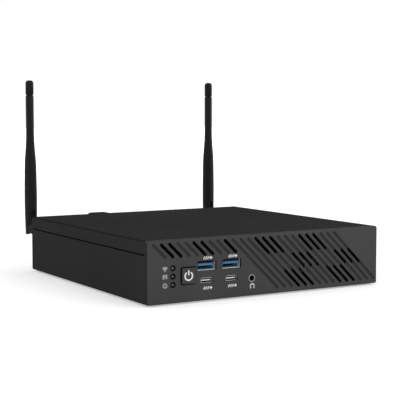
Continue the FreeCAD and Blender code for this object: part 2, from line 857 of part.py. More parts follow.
def type_a_shell(x, z, d0, d1):
    """Folded steel tube of a large flat socket."""
    wall = type_a_wall
    tube = rounded_bar(x, z, type_a_width, type_a_height, type_a_corner, d0, d1)
    return tube.cut(rounded_bar(x, z, type_a_width - 2 * wall, type_a_height - 2 * wall, type_a_corner - wall,
                                min(d0, d1) - 1, max(d0, d1) + 1))


def type_a_insert(x, z, mouth, back, towards):
    """Plastic insert: a block that fills the rear of the tube, and the tongue that carries the contacts.

    towards is 1 where the insert runs to larger depths behind its mouth, and -1 where it runs forward.
    """
    room = type_a_wall + 0.05
    width = type_a_width - 2 * room
    height = type_a_height - 2 * room
    body_start = mouth + towards * 9.0
    body = rounded_bar(x, z, width, height, 0.2, *sorted((body_start, back)))
    tongue_z = z + type_a_height / 2 - type_a_wall - 1.65
    ends = sorted((mouth + towards * 0.8, body_start + towards))
    tongue = block(x - 5.55, x + 5.55, *ends, tongue_z - 0.92, tongue_z + 0.92)
    return fuse(body, [tongue])


def type_c_shell(x, z):
    """Drawn steel tube with round sides."""
    end = front_board_depth
    tube = rounded_bar(x, z, type_c_width, type_c_height, type_c_height / 2 - 0.01, socket_setback, end)
    w = type_c_width - 2 * type_c_wall
    h = type_c_height - 2 * type_c_wall
    return tube.cut(rounded_bar(x, z, w, h, h / 2 - 0.01, socket_setback - 1, end + 1))


def type_c_insert(x, z):
    """Insert with the thin centre tongue."""
    gap = type_c_wall + 0.05
    w = type_c_width - 2 * gap
    h = type_c_height - 2 * gap
    body = rounded_bar(x, z, w, h, h / 2 - 0.01, socket_setback + 6.0, front_board_depth)
    tongue = block(x - 3.35, x + 3.35, socket_setback + 0.7, socket_setback + 7.0, z - 0.35, z + 0.35)
    return fuse(body, [tongue])


def headset_jack():
    """Plastic body of the headset socket."""
    x = from_left(jack_from_left)
    z = from_top(jack_from_top)
    half = jack_body_width / 2
    body = block(x - half, x + half, bezel_wall + slip, front_board_depth, z - half, z + half)
    return body.cut(rod_y(x, z, jack_bore_radius, 0, jack_bore_length))


def headset_collar():
    """Bright collar that fills the bezel's hole."""
    x = from_left(jack_from_left)
    z = from_top(jack_from_top)
    collar = rod_y(x, z, jack_collar_radius, 0.0, bezel_wall + slip)
    return collar.cut(rod_y(x, z, jack_bore_radius, -1, bezel_wall + 1))


# Mainboard and cooling

def board_hole_places():
    x = mainboard_width / 2 - 4.0
    middle = memory_places()[1] + memory_width + 3.5
    return [(side * x, depth) for side in (-1, 1) for depth in (mainboard_front + 6, middle, mainboard_rear - 24)]


def memory_places():
    """Depth of the contact edge of each memory module."""
    return [memory_first_depth + step * memory_step for step in (0, 1)]


def soldered_sockets():
    """Low sockets soldered to the mainboard: memory, solid-state drive, wireless card, cell and front link."""
    top = board_top
    low = top - board_thickness / 2
    solids = []
    half = memory_length / 2
    for depth in memory_places():
        bar = block(memory_x - half - 1, memory_x + half + 1, depth - 3.5, depth + 2.0, low, top + card_lift + 2.4)
        slot = block(memory_x - half - slip, memory_x + half + slip, depth, depth + 3,
                     top + card_lift - 0.05, top + card_lift + card_thickness + 0.25)
        solids.append(bar.cut(slot))
        for side in (-1, 1):
            edge = sorted((memory_x + side * (half + slip), memory_x + side * (half + 1.8)))
            solids.append(block(*edge, depth, depth + memory_width - 2, low, top + card_lift + 1.6))
    for x0, depth, width in ((ssd_x - ssd_length / 2, ssd_depth, ssd_width),
                             (wireless_x - wireless_length / 2, wireless_depth, ssd_width)):
        bar = block(x0 - 4.0, x0 + 2.0, depth, depth + width, low, top + card_lift + card_thickness + 1.0)
        slot = block(x0 - 0.05, x0 + 3, depth - 1, depth + width + 1,
                     top + card_lift - 0.05, top + card_lift + card_thickness + 0.05)
        solids.append(bar.cut(slot))
    ring = rod_z(cell_x, cell_depth, cell_radius + 1.4, low, top + 2.2)
    ring = ring.cut(rod_z(cell_x, cell_depth, cell_radius + 0.1, top + 0.6, top + 9))
    solids.append(ring)
    columns, upper, lower = socket_places()
    link_ends = (columns[0] - 12, columns[1] - 5)
    link = block(*link_ends, front_board_depth + board_thickness, mainboard_front + 5, top, top + 7)
    foot = block(*link_ends, mainboard_front, mainboard_front + 5, low, top + 0.5)
    screw_room = block(columns[0] + 5, columns[1] - 5, 0, front_board_depth + board_thickness + 2.2, 0, top_z)
    solids.append(link.fuse(foot).cut(screw_room))
    return solids


def mainboard():
    half = mainboard_width / 2
    board = block(-half, half, mainboard_front, mainboard_rear, board_z, board_top)
    corners = straight_edges(board, "Z", lambda v: True)
    board = board.makeFillet(2.0, corners)
    board = fuse(board, soldered_sockets())
    holes = [rod_z(x, depth, screw_radius + slip, 0, board_top + 1) for x, depth in board_hole_places()]
    holes += [rod_z(x, depth, screw_radius + slip, 0, board_top + 1) for x, depth in cooler_screw_places()]
    holes += [rod_z(x, depth, screw_radius + slip, 0, board_top + 1) for x, depth in fan_post_places()]
    return board.cut(holes)


def board_standoffs():
    solids = []
    for x, depth in board_hole_places():
        post = hex_post(x, depth, standoff_flats, floor_z, board_z)
        solids.append(post.cut(rod_z(x, depth, screw_radius, floor_z + 1, board_z + 1)))
    return Part.makeCompound(solids)


def cooler_screw_places():
    across = cold_plate_width / 2 - cooler_screw_margin
    along = cold_plate_length / 2 - cooler_screw_margin
    return [(processor_x + a * across, processor_depth + b * along) for a in (-1, 1) for b in (-1, 1)]


def processor_socket():
    """Frame that the processor sits in."""
    half = socket_size / 2
    inner = processor_size / 2 + running_gap
    frame = block(processor_x - half, processor_x + half, processor_depth - half, processor_depth + half,
                  board_top, board_top + socket_height)
    return frame.cut(block(processor_x - inner, processor_x + inner, processor_depth - inner,
                           processor_depth + inner, board_top + 0.8, board_top + 9))


def processor():
    """Carrier board of the processor with its metal cover."""
    half = processor_size / 2
    cover = die_cover_size / 2
    carrier = block(processor_x - half, processor_x + half, processor_depth - half, processor_depth + half,
                    board_top + 0.8, board_top + socket_height - 0.2)
    lid = block(processor_x - cover, processor_x + cover, processor_depth - cover, processor_depth + cover,
                board_top + socket_height - 0.4, board_top + socket_height + die_cover_height)
    tall = straight_edges(lid, "Z", lambda v: True)
    return fuse(carrier, [lid.makeFillet(1.5, tall)])


def cold_plate():
    """Copper plate with a round-bottomed groove for the heat pipe and a hole at each corner."""
    half = cold_plate_width / 2
    length = cold_plate_length / 2
    low = board_top + socket_height + die_cover_height
    plate = block(processor_x - half, processor_x + half, processor_depth - length, processor_depth + length,
                  low, low + cold_plate_height)
    tall = straight_edges(plate, "Z", lambda v: True)
    plate = plate.makeFillet(3.0, tall)
    ends = (processor_x - half - 1, processor_x + half + 1)
    cuts = [rod_x(processor_depth, pipe_z, pipe_radius, *ends)]
    cuts.append(block(*ends, processor_depth - pipe_radius, processor_depth + pipe_radius, pipe_z, pipe_z + 9))
    cuts += [rod_z(x, depth, screw_radius + slip, low - 1, low + 9) for x, depth in cooler_screw_places()]
    return plate.cut(cuts)


def heat_pipe():
    """Round pipe bent twice: over the cold plate, along the right side, and back through the fins."""
    start = V(processor_x - cold_plate_width / 2 + 3, front_y + processor_depth, pipe_z)
    bend = pipe_bend
    y0 = front_y + processor_depth
    y1 = front_y + fins_centre
    x = pipe_x
    first_end = V(x - bend, y0, pipe_z)
    second_start = V(x, y0 + bend, pipe_z)
    second_end = V(x, y1 - bend, pipe_z)
    third_start = V(x - bend, y1, pipe_z)
    end = V(fan_left + 2, y1, pipe_z)
    chord = bend * math.sqrt(0.5)
    first_middle = V(x - bend + chord, y0 + bend - chord, pipe_z)
    last_middle = V(x - bend + chord, y1 - bend + chord, pipe_z)
    path = Part.Wire([line(start, first_end), arc(first_end, first_middle, second_start),
                      line(second_start, second_end), arc(second_end, last_middle, third_start),
                      line(third_start, end)])
    ring = Part.Wire(Part.makeCircle(pipe_radius, start, V(1, 0, 0)))
    return path.makePipeShell([ring], True, True)


def heatsink_fins():
    """Stack of thin fins between two plates, drilled for the heat pipe."""
    low = pipe_z - pipe_radius - 2.0
    stack = block(fan_left, fan_right, fins_front, fins_front + fin_depth, low, fan_top)
    span = (fan_right - fan_left - fin_thickness) / (fin_count - 1)
    plate = 0.6
    cuts = []
    for number in range(fin_count - 1):
        x = fan_left + fin_thickness + number * span
        cuts.append(block(x, x + span - fin_thickness, fins_front - 1, fins_front + fin_depth + 1,
                          low + plate, fan_top - plate))
    cuts.append(rod_x(fins_centre, pipe_z, pipe_radius, fan_left + 1, fan_right + 1))
    return stack.cut(cuts)


def scroll_arcs():
    """X, depth and radius of the blower's three quarter arcs."""
    half = fan_scroll_step / 2
    first = fan_scroll_reach - half
    centres = ((half, half), (half, -half), (-half, -half))
    return [(fan_x + a, fan_depth + b, first - turn * fan_scroll_step) for turn, (a, b) in enumerate(centres)]


def scroll_outline(inset, outlet):
    """Snail outline of the blower: three quarter arcs that shrink step by step, then the tongue and the outlet.

    Every arc's centre is a corner of a small square about the shaft, so the arcs join smoothly.
    """
    half = fan_scroll_step / 2
    cx = fan_x
    cy = front_y + fan_depth
    z = fan_floor
    right = fan_right - inset
    tongue_round = 3.0
    mouth = front_y + outlet
    edges = [line(V(right, mouth, z), V(right, cy + half, z))]
    quarter = math.sqrt(0.5)
    turns = [((1, 0), (quarter, -quarter), (0, -1)), ((0, -1), (-quarter, -quarter), (-1, 0)),
             ((-1, 0), (-quarter, quarter), (0, 1))]
    for (ax, depth, radius), turn in zip(scroll_arcs(), turns):
        r = radius - inset
        edges.append(arc(*[V(ax + r * i, front_y + depth + r * j, z) for i, j in turn]))
    top = cy - half + scroll_arcs()[2][2] - inset
    left = fan_left - 1.0 + inset
    swing = tongue_round + inset
    bend_x = left - swing
    edges.append(line(V(cx - half, top, z), V(bend_x, top, z)))
    edges.append(arc(V(bend_x, top, z), V(bend_x + swing * quarter, top + swing * (1 - quarter), z),
                     V(left, top + swing, z)))
    edges.append(line(V(left, top + swing, z), V(left, mouth, z)))
    edges.append(line(V(left, mouth, z), V(right, mouth, z)))
    return edges


def fan_post_places():
    """A screw post on the middle of each quarter arc."""
    places = []
    for (x, depth, radius), angle in zip(scroll_arcs(), (-45, -135, 135)):
        reach = radius + fan_post_radius * 0.4
        turn = math.radians(angle)
        places.append((x + reach * math.cos(turn), depth + reach * math.sin(turn)))
    return places


def fan_housing():
    """Snail housing with an open outlet, a centre shaft, and three posts that stand on the mainboard."""
    outlet = fins_front - slip
    body = prism(scroll_outline(0.0, outlet), V(0, 0, fan_height - fan_wall))
    room = prism(scroll_outline(fan_wall, outlet + 1), V(0, 0, fan_height))
    room.translate(V(0, 0, fan_wall))
    body = body.cut(room)
    posts = [rod_z(x, depth, fan_post_radius, board_top, fan_top - fan_wall) for x, depth in fan_post_places()]
    keep_clear = prism(scroll_outline(fan_wall / 2, outlet), V(0, 0, fan_height))
    keep_clear.translate(V(0, 0, fan_wall / 2))
    posts = [post.cut(keep_clear) for post in posts]
    hub = rod_z(fan_x, fan_depth, 4.0, fan_floor + fan_wall / 2, fan_floor + fan_wall + 1.0)
    shaft = rod_z(fan_x, fan_depth, fan_shaft_radius, fan_floor + fan_wall / 2, fan_top - 6.0)
    body = fuse(body, posts + [hub, shaft])
    holes = [rod_z(x, depth, screw_radius, board_top - 1, fan_top) for x, depth in fan_post_places()]
    return body.cut(holes)


def fan_cover():
    """Flat cover with the round air inlet and an ear over each post."""
    outlet = fins_front - slip
    plate = prism(scroll_outline(0.0, outlet), V(0, 0, fan_wall))
    plate.translate(V(0, 0, fan_height - fan_wall))
    ears = [rod_z(x, depth, fan_post_radius, fan_top - fan_wall, fan_top) for x, depth in fan_post_places()]
    plate = fuse(plate, ears)
    cuts = [rod_z(fan_x, fan_depth, fan_inlet_radius, fan_floor, fan_top + 1)]
    cuts += [rod_z(x, depth, screw_radius + slip, fan_floor, fan_top + 1) for x, depth in fan_post_places()]
    return plate.cut(cuts)


def fan_blade():
    """One blade: a strip bent on an arc from the hub to the rim, pushed up."""
    low = fan_floor + fan_wall + fan_rotor_lift + fan_blade_sink
    inner = fan_hub_radius + 4.5
    outer = fan_rotor_radius - 0.4
    bow = (outer - inner) ** 2 / (8 * fan_blade_curve)
    middle = (inner + outer) / 2
    t = fan_blade_thickness
    y = front_y + fan_depth
    points = [V(fan_x + inner, y, low), V(fan_x + middle, y + bow, low), V(fan_x + outer, y, low)]
    back = [point + V(0, t, 0) for point in points]
    edges = [arc(*points), line(points[2], back[2]), arc(back[2], back[1], back[0]), line(back[0], points[0])]
    height = fan_height - 2 * fan_wall - fan_rotor_room - 2 * fan_blade_sink
    return prism(edges, V(0, 0, height))


def fan_rotor():
    """Hub cup, a thin disc under the blades, the blades and the ring that ties their tops."""
    low = fan_floor + fan_wall + fan_rotor_lift
    height = fan_height - 2 * fan_wall - fan_rotor_room
    top = low + height
    hub_top = top - fan_rim_height
    hub = rod_z(fan_x, fan_depth, fan_hub_radius, low, hub_top)
    rim = [edge for edge in hub.Edges if abs(edge.BoundBox.ZMin - hub_top) < 1e-6]
    hub = hub.makeFillet(2.0, rim)
    disc = rod_z(fan_x, fan_depth, fan_rotor_radius, low, low + fan_rim_height)
    ring = rod_z(fan_x, fan_depth, fan_rotor_radius, hub_top, top)
    ring = ring.cut(rod_z(fan_x, fan_depth, fan_rotor_radius - 2.2, low, top + 1))
    centre = V(fan_x, front_y + fan_depth, 0)
    blades = []
    for number in range(fan_blade_count):
        blade = fan_blade()
        blade.rotate(centre, V(0, 0, 1), number * 360.0 / fan_blade_count)
        blades.append(blade)
    rotor = fuse(hub, [disc, ring] + blades)
    bore = rod_z(fan_x, fan_depth, fan_shaft_radius + 0.05, fan_floor, fan_top - 5.6)
    return rotor.cut(bore)


# Cards, cell and drive

def chip_card(x0, x1, d0, d1, thickness, chips):
    """Circuit card with flat chips on top, given as (x, depth, width, length)."""
    z = board_top + card_lift
    card = block(x0, x1, d0, d1, z, z + thickness)
    tops = [block(x, x + w, d, d + l, z + thickness / 2, z + thickness + 0.9) for x, d, w, l in chips]
    return fuse(card, tops)


def memory_module(depth):
    half = memory_length / 2
    chips = [(memory_x - half + 4 + step * 15.6, depth + 12, 12.0, 8.5) for step in range(4)]
    return chip_card(memory_x - half, memory_x + half, depth, depth + memory_width, card_thickness + 0.2, chips)


def ssd_module():
    left = ssd_x - ssd_length / 2
    chips = [(left + 8, ssd_depth + 4, 12.0, 14.0), (left + 26, ssd_depth + 4, 16.0, 14.0)]
    chips.append((left + 50, ssd_depth + 4, 16.0, 14.0))
    card = chip_card(left, left + ssd_length, ssd_depth, ssd_depth + ssd_width, card_thickness, chips)
    return card.cut(rod_z(left + ssd_length, ssd_depth + ssd_width / 2, 1.8, board_top, board_top + 9))


def wireless_card():
    left = wireless_x - wireless_length / 2
    chips = [(left + 5, wireless_depth + 3, 20.0, 16.0)]
    card = chip_card(left, left + wireless_length, wireless_depth, wireless_depth + ssd_width, card_thickness, chips)
    return card.cut(rod_z(left + wireless_length, wireless_depth + ssd_width / 2, 1.8, board_top, board_top + 9))


def card_screws():
    """A stepped stud at the free end of each card, which holds it down."""
    solids = []
    places = ((ssd_x + ssd_length / 2, ssd_depth), (wireless_x + wireless_length / 2, wireless_depth))
    for x, depth in places:
        z = board_top + card_lift
        steps = [(board_top, 2.4), (z, 2.4), (z, 1.5), (z + card_thickness, 1.5), (z + card_thickness, 2.6)]
        steps += [(z + card_thickness + 1.2, 2.2)]
        solids.append(pillar(x, depth + ssd_width / 2, steps))
    return solids


def coin_cell():
    """Coin cell: a can with a slightly smaller cap."""
    z = board_top + 0.6
    steps = [(z, cell_radius - 1.0), (z + 0.5, cell_radius - 0.9), (z + 0.6, cell_radius)]
    steps += [(z + cell_thickness - 0.3, cell_radius), (z + cell_thickness, cell_radius - 0.3)]
    return pillar(cell_x, cell_depth, steps)


def drive_bracket():
    """Folded frame on four legs, with two upright flanges that hold the drive by its sides."""
    t = bracket_sheet
    low = board_top + bracket_lift
    half = drive_width / 2 + running_gap + t
    front = drive_depth - 2
    back = drive_depth + drive_length + 2
    frame = block(drive_x - half, drive_x + half, front, back, low, low + t)
    window = block(drive_x - half + 10, drive_x + half - 10, front + 12, back - 12, low - 1, low + t + 1)
    frame = frame.cut(window)
    extras = []
    for side in (-1, 1):
        edge = sorted((drive_x + side * half, drive_x + side * (half - t)))
        extras.append(block(*edge, front, back, low, low + t + bracket_flange))
    reach = drive_width / 2 - 15.0
    for x in (drive_x - reach, drive_x + reach):
        extras.append(block(x - 4, x + 4, front, front + t, board_top, low + t))
        extras.append(block(x - 4, x + 4, front - 4, front + t, board_top, board_top + t))
        extras.append(block(x - 4, x + 4, back - t, back, board_top, low + t))
        extras.append(block(x - 4, x + 4, back - t, back + 4, board_top, board_top + t))
    bracket = fuse(frame, extras)
    holes = []
    for depth in drive_screw_depths():
        holes.append(rod_x(depth, drive_floor + 3.0, screw_radius + running_gap, drive_x - half - 1, drive_x + half + 1))
    return bracket.cut(holes)


def drive_screw_depths():
    first = drive_depth + drive_screw_first
    return (first, first + drive_screw_span)


def drive():
    """2.5 inch drive: a case with a shallow raised cover and screw holes in its sides."""
    half = drive_width / 2
    body = block(drive_x - half, drive_x + half, drive_depth, drive_depth + drive_length,
                 drive_floor, drive_floor + drive_height)
    tall = straight_edges(body, "Z", lambda v: True)
    body = body.makeFillet(2.0, tall)
    recess = 0.5
    ledge = block(drive_x - half - 1, drive_x + half + 1, drive_depth - 1, drive_depth + 6,
                  drive_floor + drive_height - recess, drive_floor + drive_height + 1)
    cuts = [ledge]
    for depth in drive_screw_depths():
        for side in (-1, 1):
            ends = sorted((drive_x + side * (half + 1), drive_x + side * (half - 4)))
            cuts.append(rod_x(depth, drive_floor + 3.0, screw_radius, *ends))
    return body.cut(cuts)


def drive_screws():
    """Low-headed side screws of the drive."""
    solids = []
    half = drive_width / 2 + running_gap + bracket_sheet
    for depth in drive_screw_depths():
        for side in (-1, 1):
            seat = drive_x + side * half
            head = sorted((seat, seat + side * 0.9))
            shank = sorted((seat + side * 0.1, seat - side * 4.0))
            body = rod_x(depth, drive_floor + 3.0, screw_head_radius, *head)
            solids.append(body.fuse(rod_x(depth, drive_floor + 3.0, screw_radius - 0.05, *shank)))
    return solids


def inside_screws():
    """Every screw inside the case: mainboard, cold plate, blower, cards and drive."""
    solids = [pan_screw_z(x, depth, board_top, 4.5) for x, depth in board_hole_places()]
    plate_top = board_top + socket_height + die_cover_height + cold_plate_height
    solids += [pan_screw_z(x, depth, plate_top, plate_top - board_z) for x, depth in cooler_screw_places()]
    solids += [pan_screw_z(x, depth, fan_top, fan_top - board_z) for x, depth in fan_post_places()]
    return Part.makeCompound(solids + card_screws() + drive_screws())


# Rear sockets

def dc_jack():
    """Power inlet: a block with a round mouth and the centre pin that stands in it."""
    half = dc_width / 2
    back = socket_mouth
    z = board_top + dc_height / 2
    body = block(dc_x - half, dc_x + half, back - dc_length, back, board_top, board_top + dc_height)
    body = body.cut(rod_y(dc_x, z, dc_bore_radius, back - dc_bore_length, back + 1))
    pin = rod_y(dc_x, z, dc_pin_radius, back - dc_bore_length - 0.5, back - 1.2)
    return fuse(body, [pin])


def video_section(grow):
    """Section of a video socket: flat top, sloped lower corners."""
    w = video_width / 2 + grow
    h = video_height / 2 + grow
    cut = 1.8
    return [(-w, h), (-w, -h + cut), (-w + cut, -h), (w - cut, -h), (w, -h + cut), (w, h)]


def video_port(x):
    z = board_top + video_height / 2 + 0.6
    back = socket_mouth
    body = polygon_bar(x, z, video_section(0.0), back - video_length, back)
    body = body.cut(polygon_bar(x, z, video_section(-0.4), back - 9.0, back + 1))
    tongue = block(x - 5.6, x + 5.6, back - 10, back - 1.0, z + 0.1, z + 1.1)
    foot = block(x - 5, x + 5, back - video_length, back - 3, board_top, z - video_height / 2 + 0.2)
    return fuse(body, [tongue, foot])


def network_port():
    """Network socket: a shielded block with a stepped mouth and eight contact strips."""
    half = network_width / 2
    back = socket_mouth
    front = back - network_length
    body = block(network_x - half, network_x + half, front, back, board_top, board_top + network_height)
    mouth = network_mouth_width / 2
    low = board_top + 3.2
    inner = back - network_mouth_depth
    cuts = [block(network_x - mouth, network_x + mouth, inner, back + 1, low, low + network_mouth_height)]
    cuts.append(block(network_x - 3.2, network_x + 3.2, inner + 3, back + 1, low - 2.2, low + 0.1))
    body = body.cut(cuts)
    top = low + network_mouth_height
    strips = [block(network_x - 3.9 + step * 1.02, network_x - 3.4 + step * 1.02, inner - 0.5, back - 3,
                    top - 0.5, top + 0.3) for step in range(8)]
    return fuse(body, strips)


def stack_places(number):
    """X of a double socket and the heights of its two mouths."""
    x = stack_x + number * stack_pitch
    return x, [board_top + 3.7, board_top + stack_height - 3.7]


def rear_stack_shell(number):
    """Steel cover over two large flat sockets, one above the other."""
    x, levels = stack_places(number)
    half = stack_width / 2
    back = socket_mouth
    body = block(x - half, x + half, back - stack_length, back, board_top, board_top + stack_height)
    wall = type_a_wall
    room = block(x - half + wall, x + half - wall, back - stack_length - 1, back - 0.6, board_top - 1,
                 board_top + stack_height - wall)
    mouths = [rounded_bar(x, z, type_a_width - 2 * wall, type_a_height - 2 * wall, type_a_corner - wall,
                          back - 2, back + 1) for z in levels]
    return body.cut([room] + mouths)


def rear_stack_insert(number):
    """Plastic core of a double socket: a block with two chambers and a tongue in each."""
    x, levels = stack_places(number)
    gap = type_a_wall + 0.05
    half = stack_width / 2 - gap
    back = socket_mouth - 0.65
    front = socket_mouth - stack_length
    body = block(x - half, x + half, front, back, board_top, board_top + stack_height - gap)
    wall = type_a_wall
    rooms = [rounded_bar(x, z, type_a_width - 2 * wall, type_a_height - 2 * wall, type_a_corner - wall,
                         back - 9.0, back + 1) for z in levels]
    body = body.cut(rooms)
    tongues = []
    for z in levels:
        level = z + type_a_height / 2 - type_a_wall - 1.65
        tongues.append(block(x - 5.55, x + 5.55, back - 10, back - 0.6, level - 0.92, level + 0.92))
    return fuse(body, tongues)


# Antennas

def antenna_z():
    return under_z + antenna_pivot


def antenna_axis():
    """Depth of the whip's centre line."""
    return case_depth + antenna_offset


def sleeve_ends():
    """Where the coupling sleeve starts, where it bottoms on the coax socket, and where it ends."""
    start = panel_back + coax_nut_height + slip
    collar = antenna_axis() - antenna_foot_radius - slip - 2.6
    return start, panel_back + coax_thread_length, collar


def antenna_jack(x):
    """Coax socket fixed in the panel: hexagon inside, thread outside, tail towards the board."""
    z = antenna_z()
    barrel = rod_y(x, z, coax_thread_radius, panel_front - 1, panel_back + coax_thread_length)
    flange = polygon_bar(x, z, hexagon(coax_nut_flats), panel_front - 2.2, panel_front)
    tail = rod_y(x, z, 2.2, panel_front - 9.0, panel_front - 2)
    return fuse(flange, [barrel, tail])


def antenna_nuts():
    solids = []
    for x in (antenna_left_x, antenna_right_x):
        nut = polygon_bar(x, antenna_z(), hexagon(coax_nut_flats), panel_back, panel_back + coax_nut_height)
        washer = rod_y(x, antenna_z(), coax_nut_flats / 2 + 0.4, panel_back, panel_back + 0.5)
        nut = fuse(nut, [washer])
        solids.append(nut.cut(rod_y(x, antenna_z(), coax_thread_radius + 0.05, panel_front, panel_back + 9)))
    return Part.makeCompound(solids)


def antenna_sleeve(x):
    """Fluted coupling sleeve that screws on to the coax socket and carries the swivel."""
    z = antenna_z()
    start, middle, end = sleeve_ends()
    r = sleeve_radius
    steps = [(start, r - 0.4), (start + 0.4, r), (end - 3.0, r), (end - 2.6, r - 0.5), (end - 0.2, r - 0.6)]
    steps += [(end, r - 0.9)]
    body = spindle(x, z, steps)
    cuts = [rod_y(x, z, coax_thread_radius + 0.1, start - 1, middle)]
    cuts.append(rod_y(x, z, knuckle_stub_radius + 0.05, middle - 0.1, end + 1))
    for number in range(sleeve_flutes):
        angle = 2 * math.pi * number / sleeve_flutes
        reach = r + sleeve_flute_radius * 0.35
        cuts.append(rod_y(x + reach * math.cos(angle), z + reach * math.sin(angle), sleeve_flute_radius,
                          start + 0.9, end - 3.6))
    return body.cut(cuts)


def antenna_knuckle(x):
    """Swivel: a stub inside the sleeve, a round collar, and the flat eye that the whip tilts on."""
    z = antenna_z()
    start, middle, end = sleeve_ends()
    collar = end + knuckle_side_gap
    face = antenna_axis() - antenna_foot_radius - slip
    steps = [(middle + slip, knuckle_stub_radius), (collar, knuckle_stub_radius), (collar, knuckle_radius - 0.3)]
    steps += [(collar + 0.3, knuckle_radius), (face - 0.4, knuckle_radius), (face, knuckle_radius - 0.4)]
    body = spindle(x, z, steps)
    half = antenna_slot_width / 2 - knuckle_side_gap
    eye = knuckle_eye_radius
    bar = block(x - half, x + half, face - 0.5, antenna_axis(), z - eye * 0.86, z + eye * 0.86)
    end_round = rod_x(antenna_axis(), z, eye, x - half, x + half)
    body = fuse(body, [bar, end_round])
    return body.cut(rod_x(antenna_axis(), z, antenna_pin_radius + 0.05, x - 9, x + 9))


def antenna_pin(x):
    half = antenna_base_radius - 0.15
    return rod_x(antenna_axis(), antenna_z(), antenna_pin_radius, x - half, x + half)


def ogee(x, y, r0, z0, r1, z1):
    """Two equal arcs that lead smoothly from one radius to another."""
    rise = z1 - z0
    drop = r0 - r1
    bend = (drop * drop + rise * rise) / (4 * drop)
    sag = (rise / 4) ** 2 / (2 * bend)
    middle = V(x + (r0 + r1) / 2, y, (z0 + z1) / 2)
    lower = arc(V(x + r0, y, z0), V(x + r0 - sag, y, z0 + rise / 4), middle)
    upper = arc(middle, V(x + r1 + sag, y, z1 - rise / 4), V(x + r1, y, z1))
    return [lower, upper]


def antenna_whip(x):
    """Moulded whip: a bellied lower body, an ogee taper, a slim shaft, a neck and a domed tip.

    Its foot is a fork, rounded about the tilt pin, with a slot for the knuckle's eye that runs up as two grooves.
    """
    y = front_y + antenna_axis()
    base = under_z + antenna_pivot - antenna_foot_radius
    belly = under_z + antenna_belly_height
    taper = under_z + antenna_taper_start
    shaft = under_z + antenna_taper_end
    neck = under_z + antenna_neck_height
    tip = under_z + antenna_tip
    r = antenna_shaft_radius
    edges = [line(V(x, y, base), V(x + antenna_base_radius, y, base))]
    edges.append(arc(V(x + antenna_base_radius, y, base), V(x + antenna_belly_radius, y, belly),
                     V(x + antenna_taper_radius, y, taper)))
    edges += ogee(x, y, antenna_taper_radius, taper, r, shaft)
    edges.append(line(V(x + r, y, shaft), V(x + r, y, neck - antenna_neck_width)))
    groove = V(x + antenna_neck_radius, y, neck)
    edges.append(line(V(x + r, y, neck - antenna_neck_width), groove))
    edges.append(line(groove, V(x + r, y, neck + antenna_neck_width)))
    bend = antenna_tip_round
    edges.append(line(V(x + r, y, neck + antenna_neck_width), V(x + r, y, tip - bend)))
    middle = V(x + r - bend * (1 - math.sqrt(0.5)), y, tip - bend * (1 - math.sqrt(0.5)))
    edges.append(arc(V(x + r, y, tip - bend), middle, V(x + r - bend, y, tip)))
    edges.append(line(V(x + r - bend, y, tip), V(x, y, tip)))
    edges.append(line(V(x, y, tip), V(x, y, base)))
    whip = turned(edges, V(x, y, 0), V(0, 0, 1))
    axis = antenna_axis()
    z = antenna_z()
    keep = rod_x(axis, z, antenna_foot_radius, x - 9, x + 9)
    keep = keep.fuse(block(x - 9, x + 9, axis - 9, axis + 9, z, tip + 1))
    whip = whip.common(keep)
    half = antenna_slot_width / 2
    top = under_z + antenna_groove_top
    grooves = block(x - half, x + half, axis - 9, axis + 9, z, top - half)
    grooves = grooves.fuse(rod_y(x, top - half, half, axis - 9, axis + 9))
    grooves = grooves.cut(rod_z(x, axis, antenna_groove_floor, z - 1, top + 1))
    slot_top = z + knuckle_eye_radius + antenna_slot_room
    cuts = [grooves, block(x - half, x + half, axis - 9, axis + 9, base - 1, slot_top)]
    cuts.append(rod_x(axis, z, antenna_pin_radius, x - 9, x + 9))
    return whip.cut(cuts)


# Every named piece

def all_pieces():
    columns, upper, lower = socket_places()
    pieces = {
        "base_tray": base_tray(),
        "rear_panel": rear_panel(),
        "top_lid": top_lid(),
        "front_bezel": front_bezel(),
        "feet": feet(),
        "lid_thumbscrew": lid_thumbscrew(),
        "rear_panel_screws": rear_panel_screws(),
        "power_button": power_button(),
        "light_pipe": light_pipe(),
        "front_io_board": front_io_board(),
        "power_switch": power_switch(),
        "front_board_screws": front_board_screws(),
        "headset_jack": headset_jack(),
        "headset_collar": headset_collar(),
        "mainboard": mainboard(),
        "board_standoffs": board_standoffs(),
        "inside_screws": inside_screws(),
        "processor_socket": processor_socket(),
        "processor": processor(),
        "cold_plate": cold_plate(),
        "heat_pipe": heat_pipe(),
        "heatsink_fins": heatsink_fins(),
        "fan_housing": fan_housing(),
        "fan_cover": fan_cover(),
        "fan_rotor": fan_rotor(),
        "ssd_module": ssd_module(),
        "wireless_card": wireless_card(),
        "coin_cell": coin_cell(),
        "drive_bracket": drive_bracket(),
        "drive": drive(),
        "dc_jack": dc_jack(),
        "network_port": network_port(),
        "antenna_nuts": antenna_nuts(),
    }
    for number, x in enumerate(columns, start=1):
        back = front_board_depth
        pieces[f"front_usb_a_shell_{number}"] = type_a_shell(x, upper, socket_setback, back)
        pieces[f"front_usb_a_insert_{number}"] = type_a_insert(x, upper, socket_setback, back, 1)
        pieces[f"front_usb_c_shell_{number}"] = type_c_shell(x, lower)
        pieces[f"front_usb_c_insert_{number}"] = type_c_insert(x, lower)
        pieces[f"video_port_{number}"] = video_port(video_x + (number - 1) * video_pitch)
        pieces[f"rear_usb_shell_{number}"] = rear_stack_shell(number - 1)
        pieces[f"rear_usb_insert_{number}"] = rear_stack_insert(number - 1)
        pieces[f"memory_module_{number}"] = memory_module(memory_places()[number - 1])
    for side, x in (("left", antenna_left_x), ("right", antenna_right_x)):
        pieces[f"antenna_{side}_jack"] = antenna_jack(x)
        pieces[f"antenna_{side}_sleeve"] = antenna_sleeve(x)
        pieces[f"antenna_{side}_knuckle"] = antenna_knuckle(x)
        pieces[f"antenna_{side}_pin"] = antenna_pin(x)
        pieces[f"antenna_{side}_whip"] = antenna_whip(x)
    return pieces


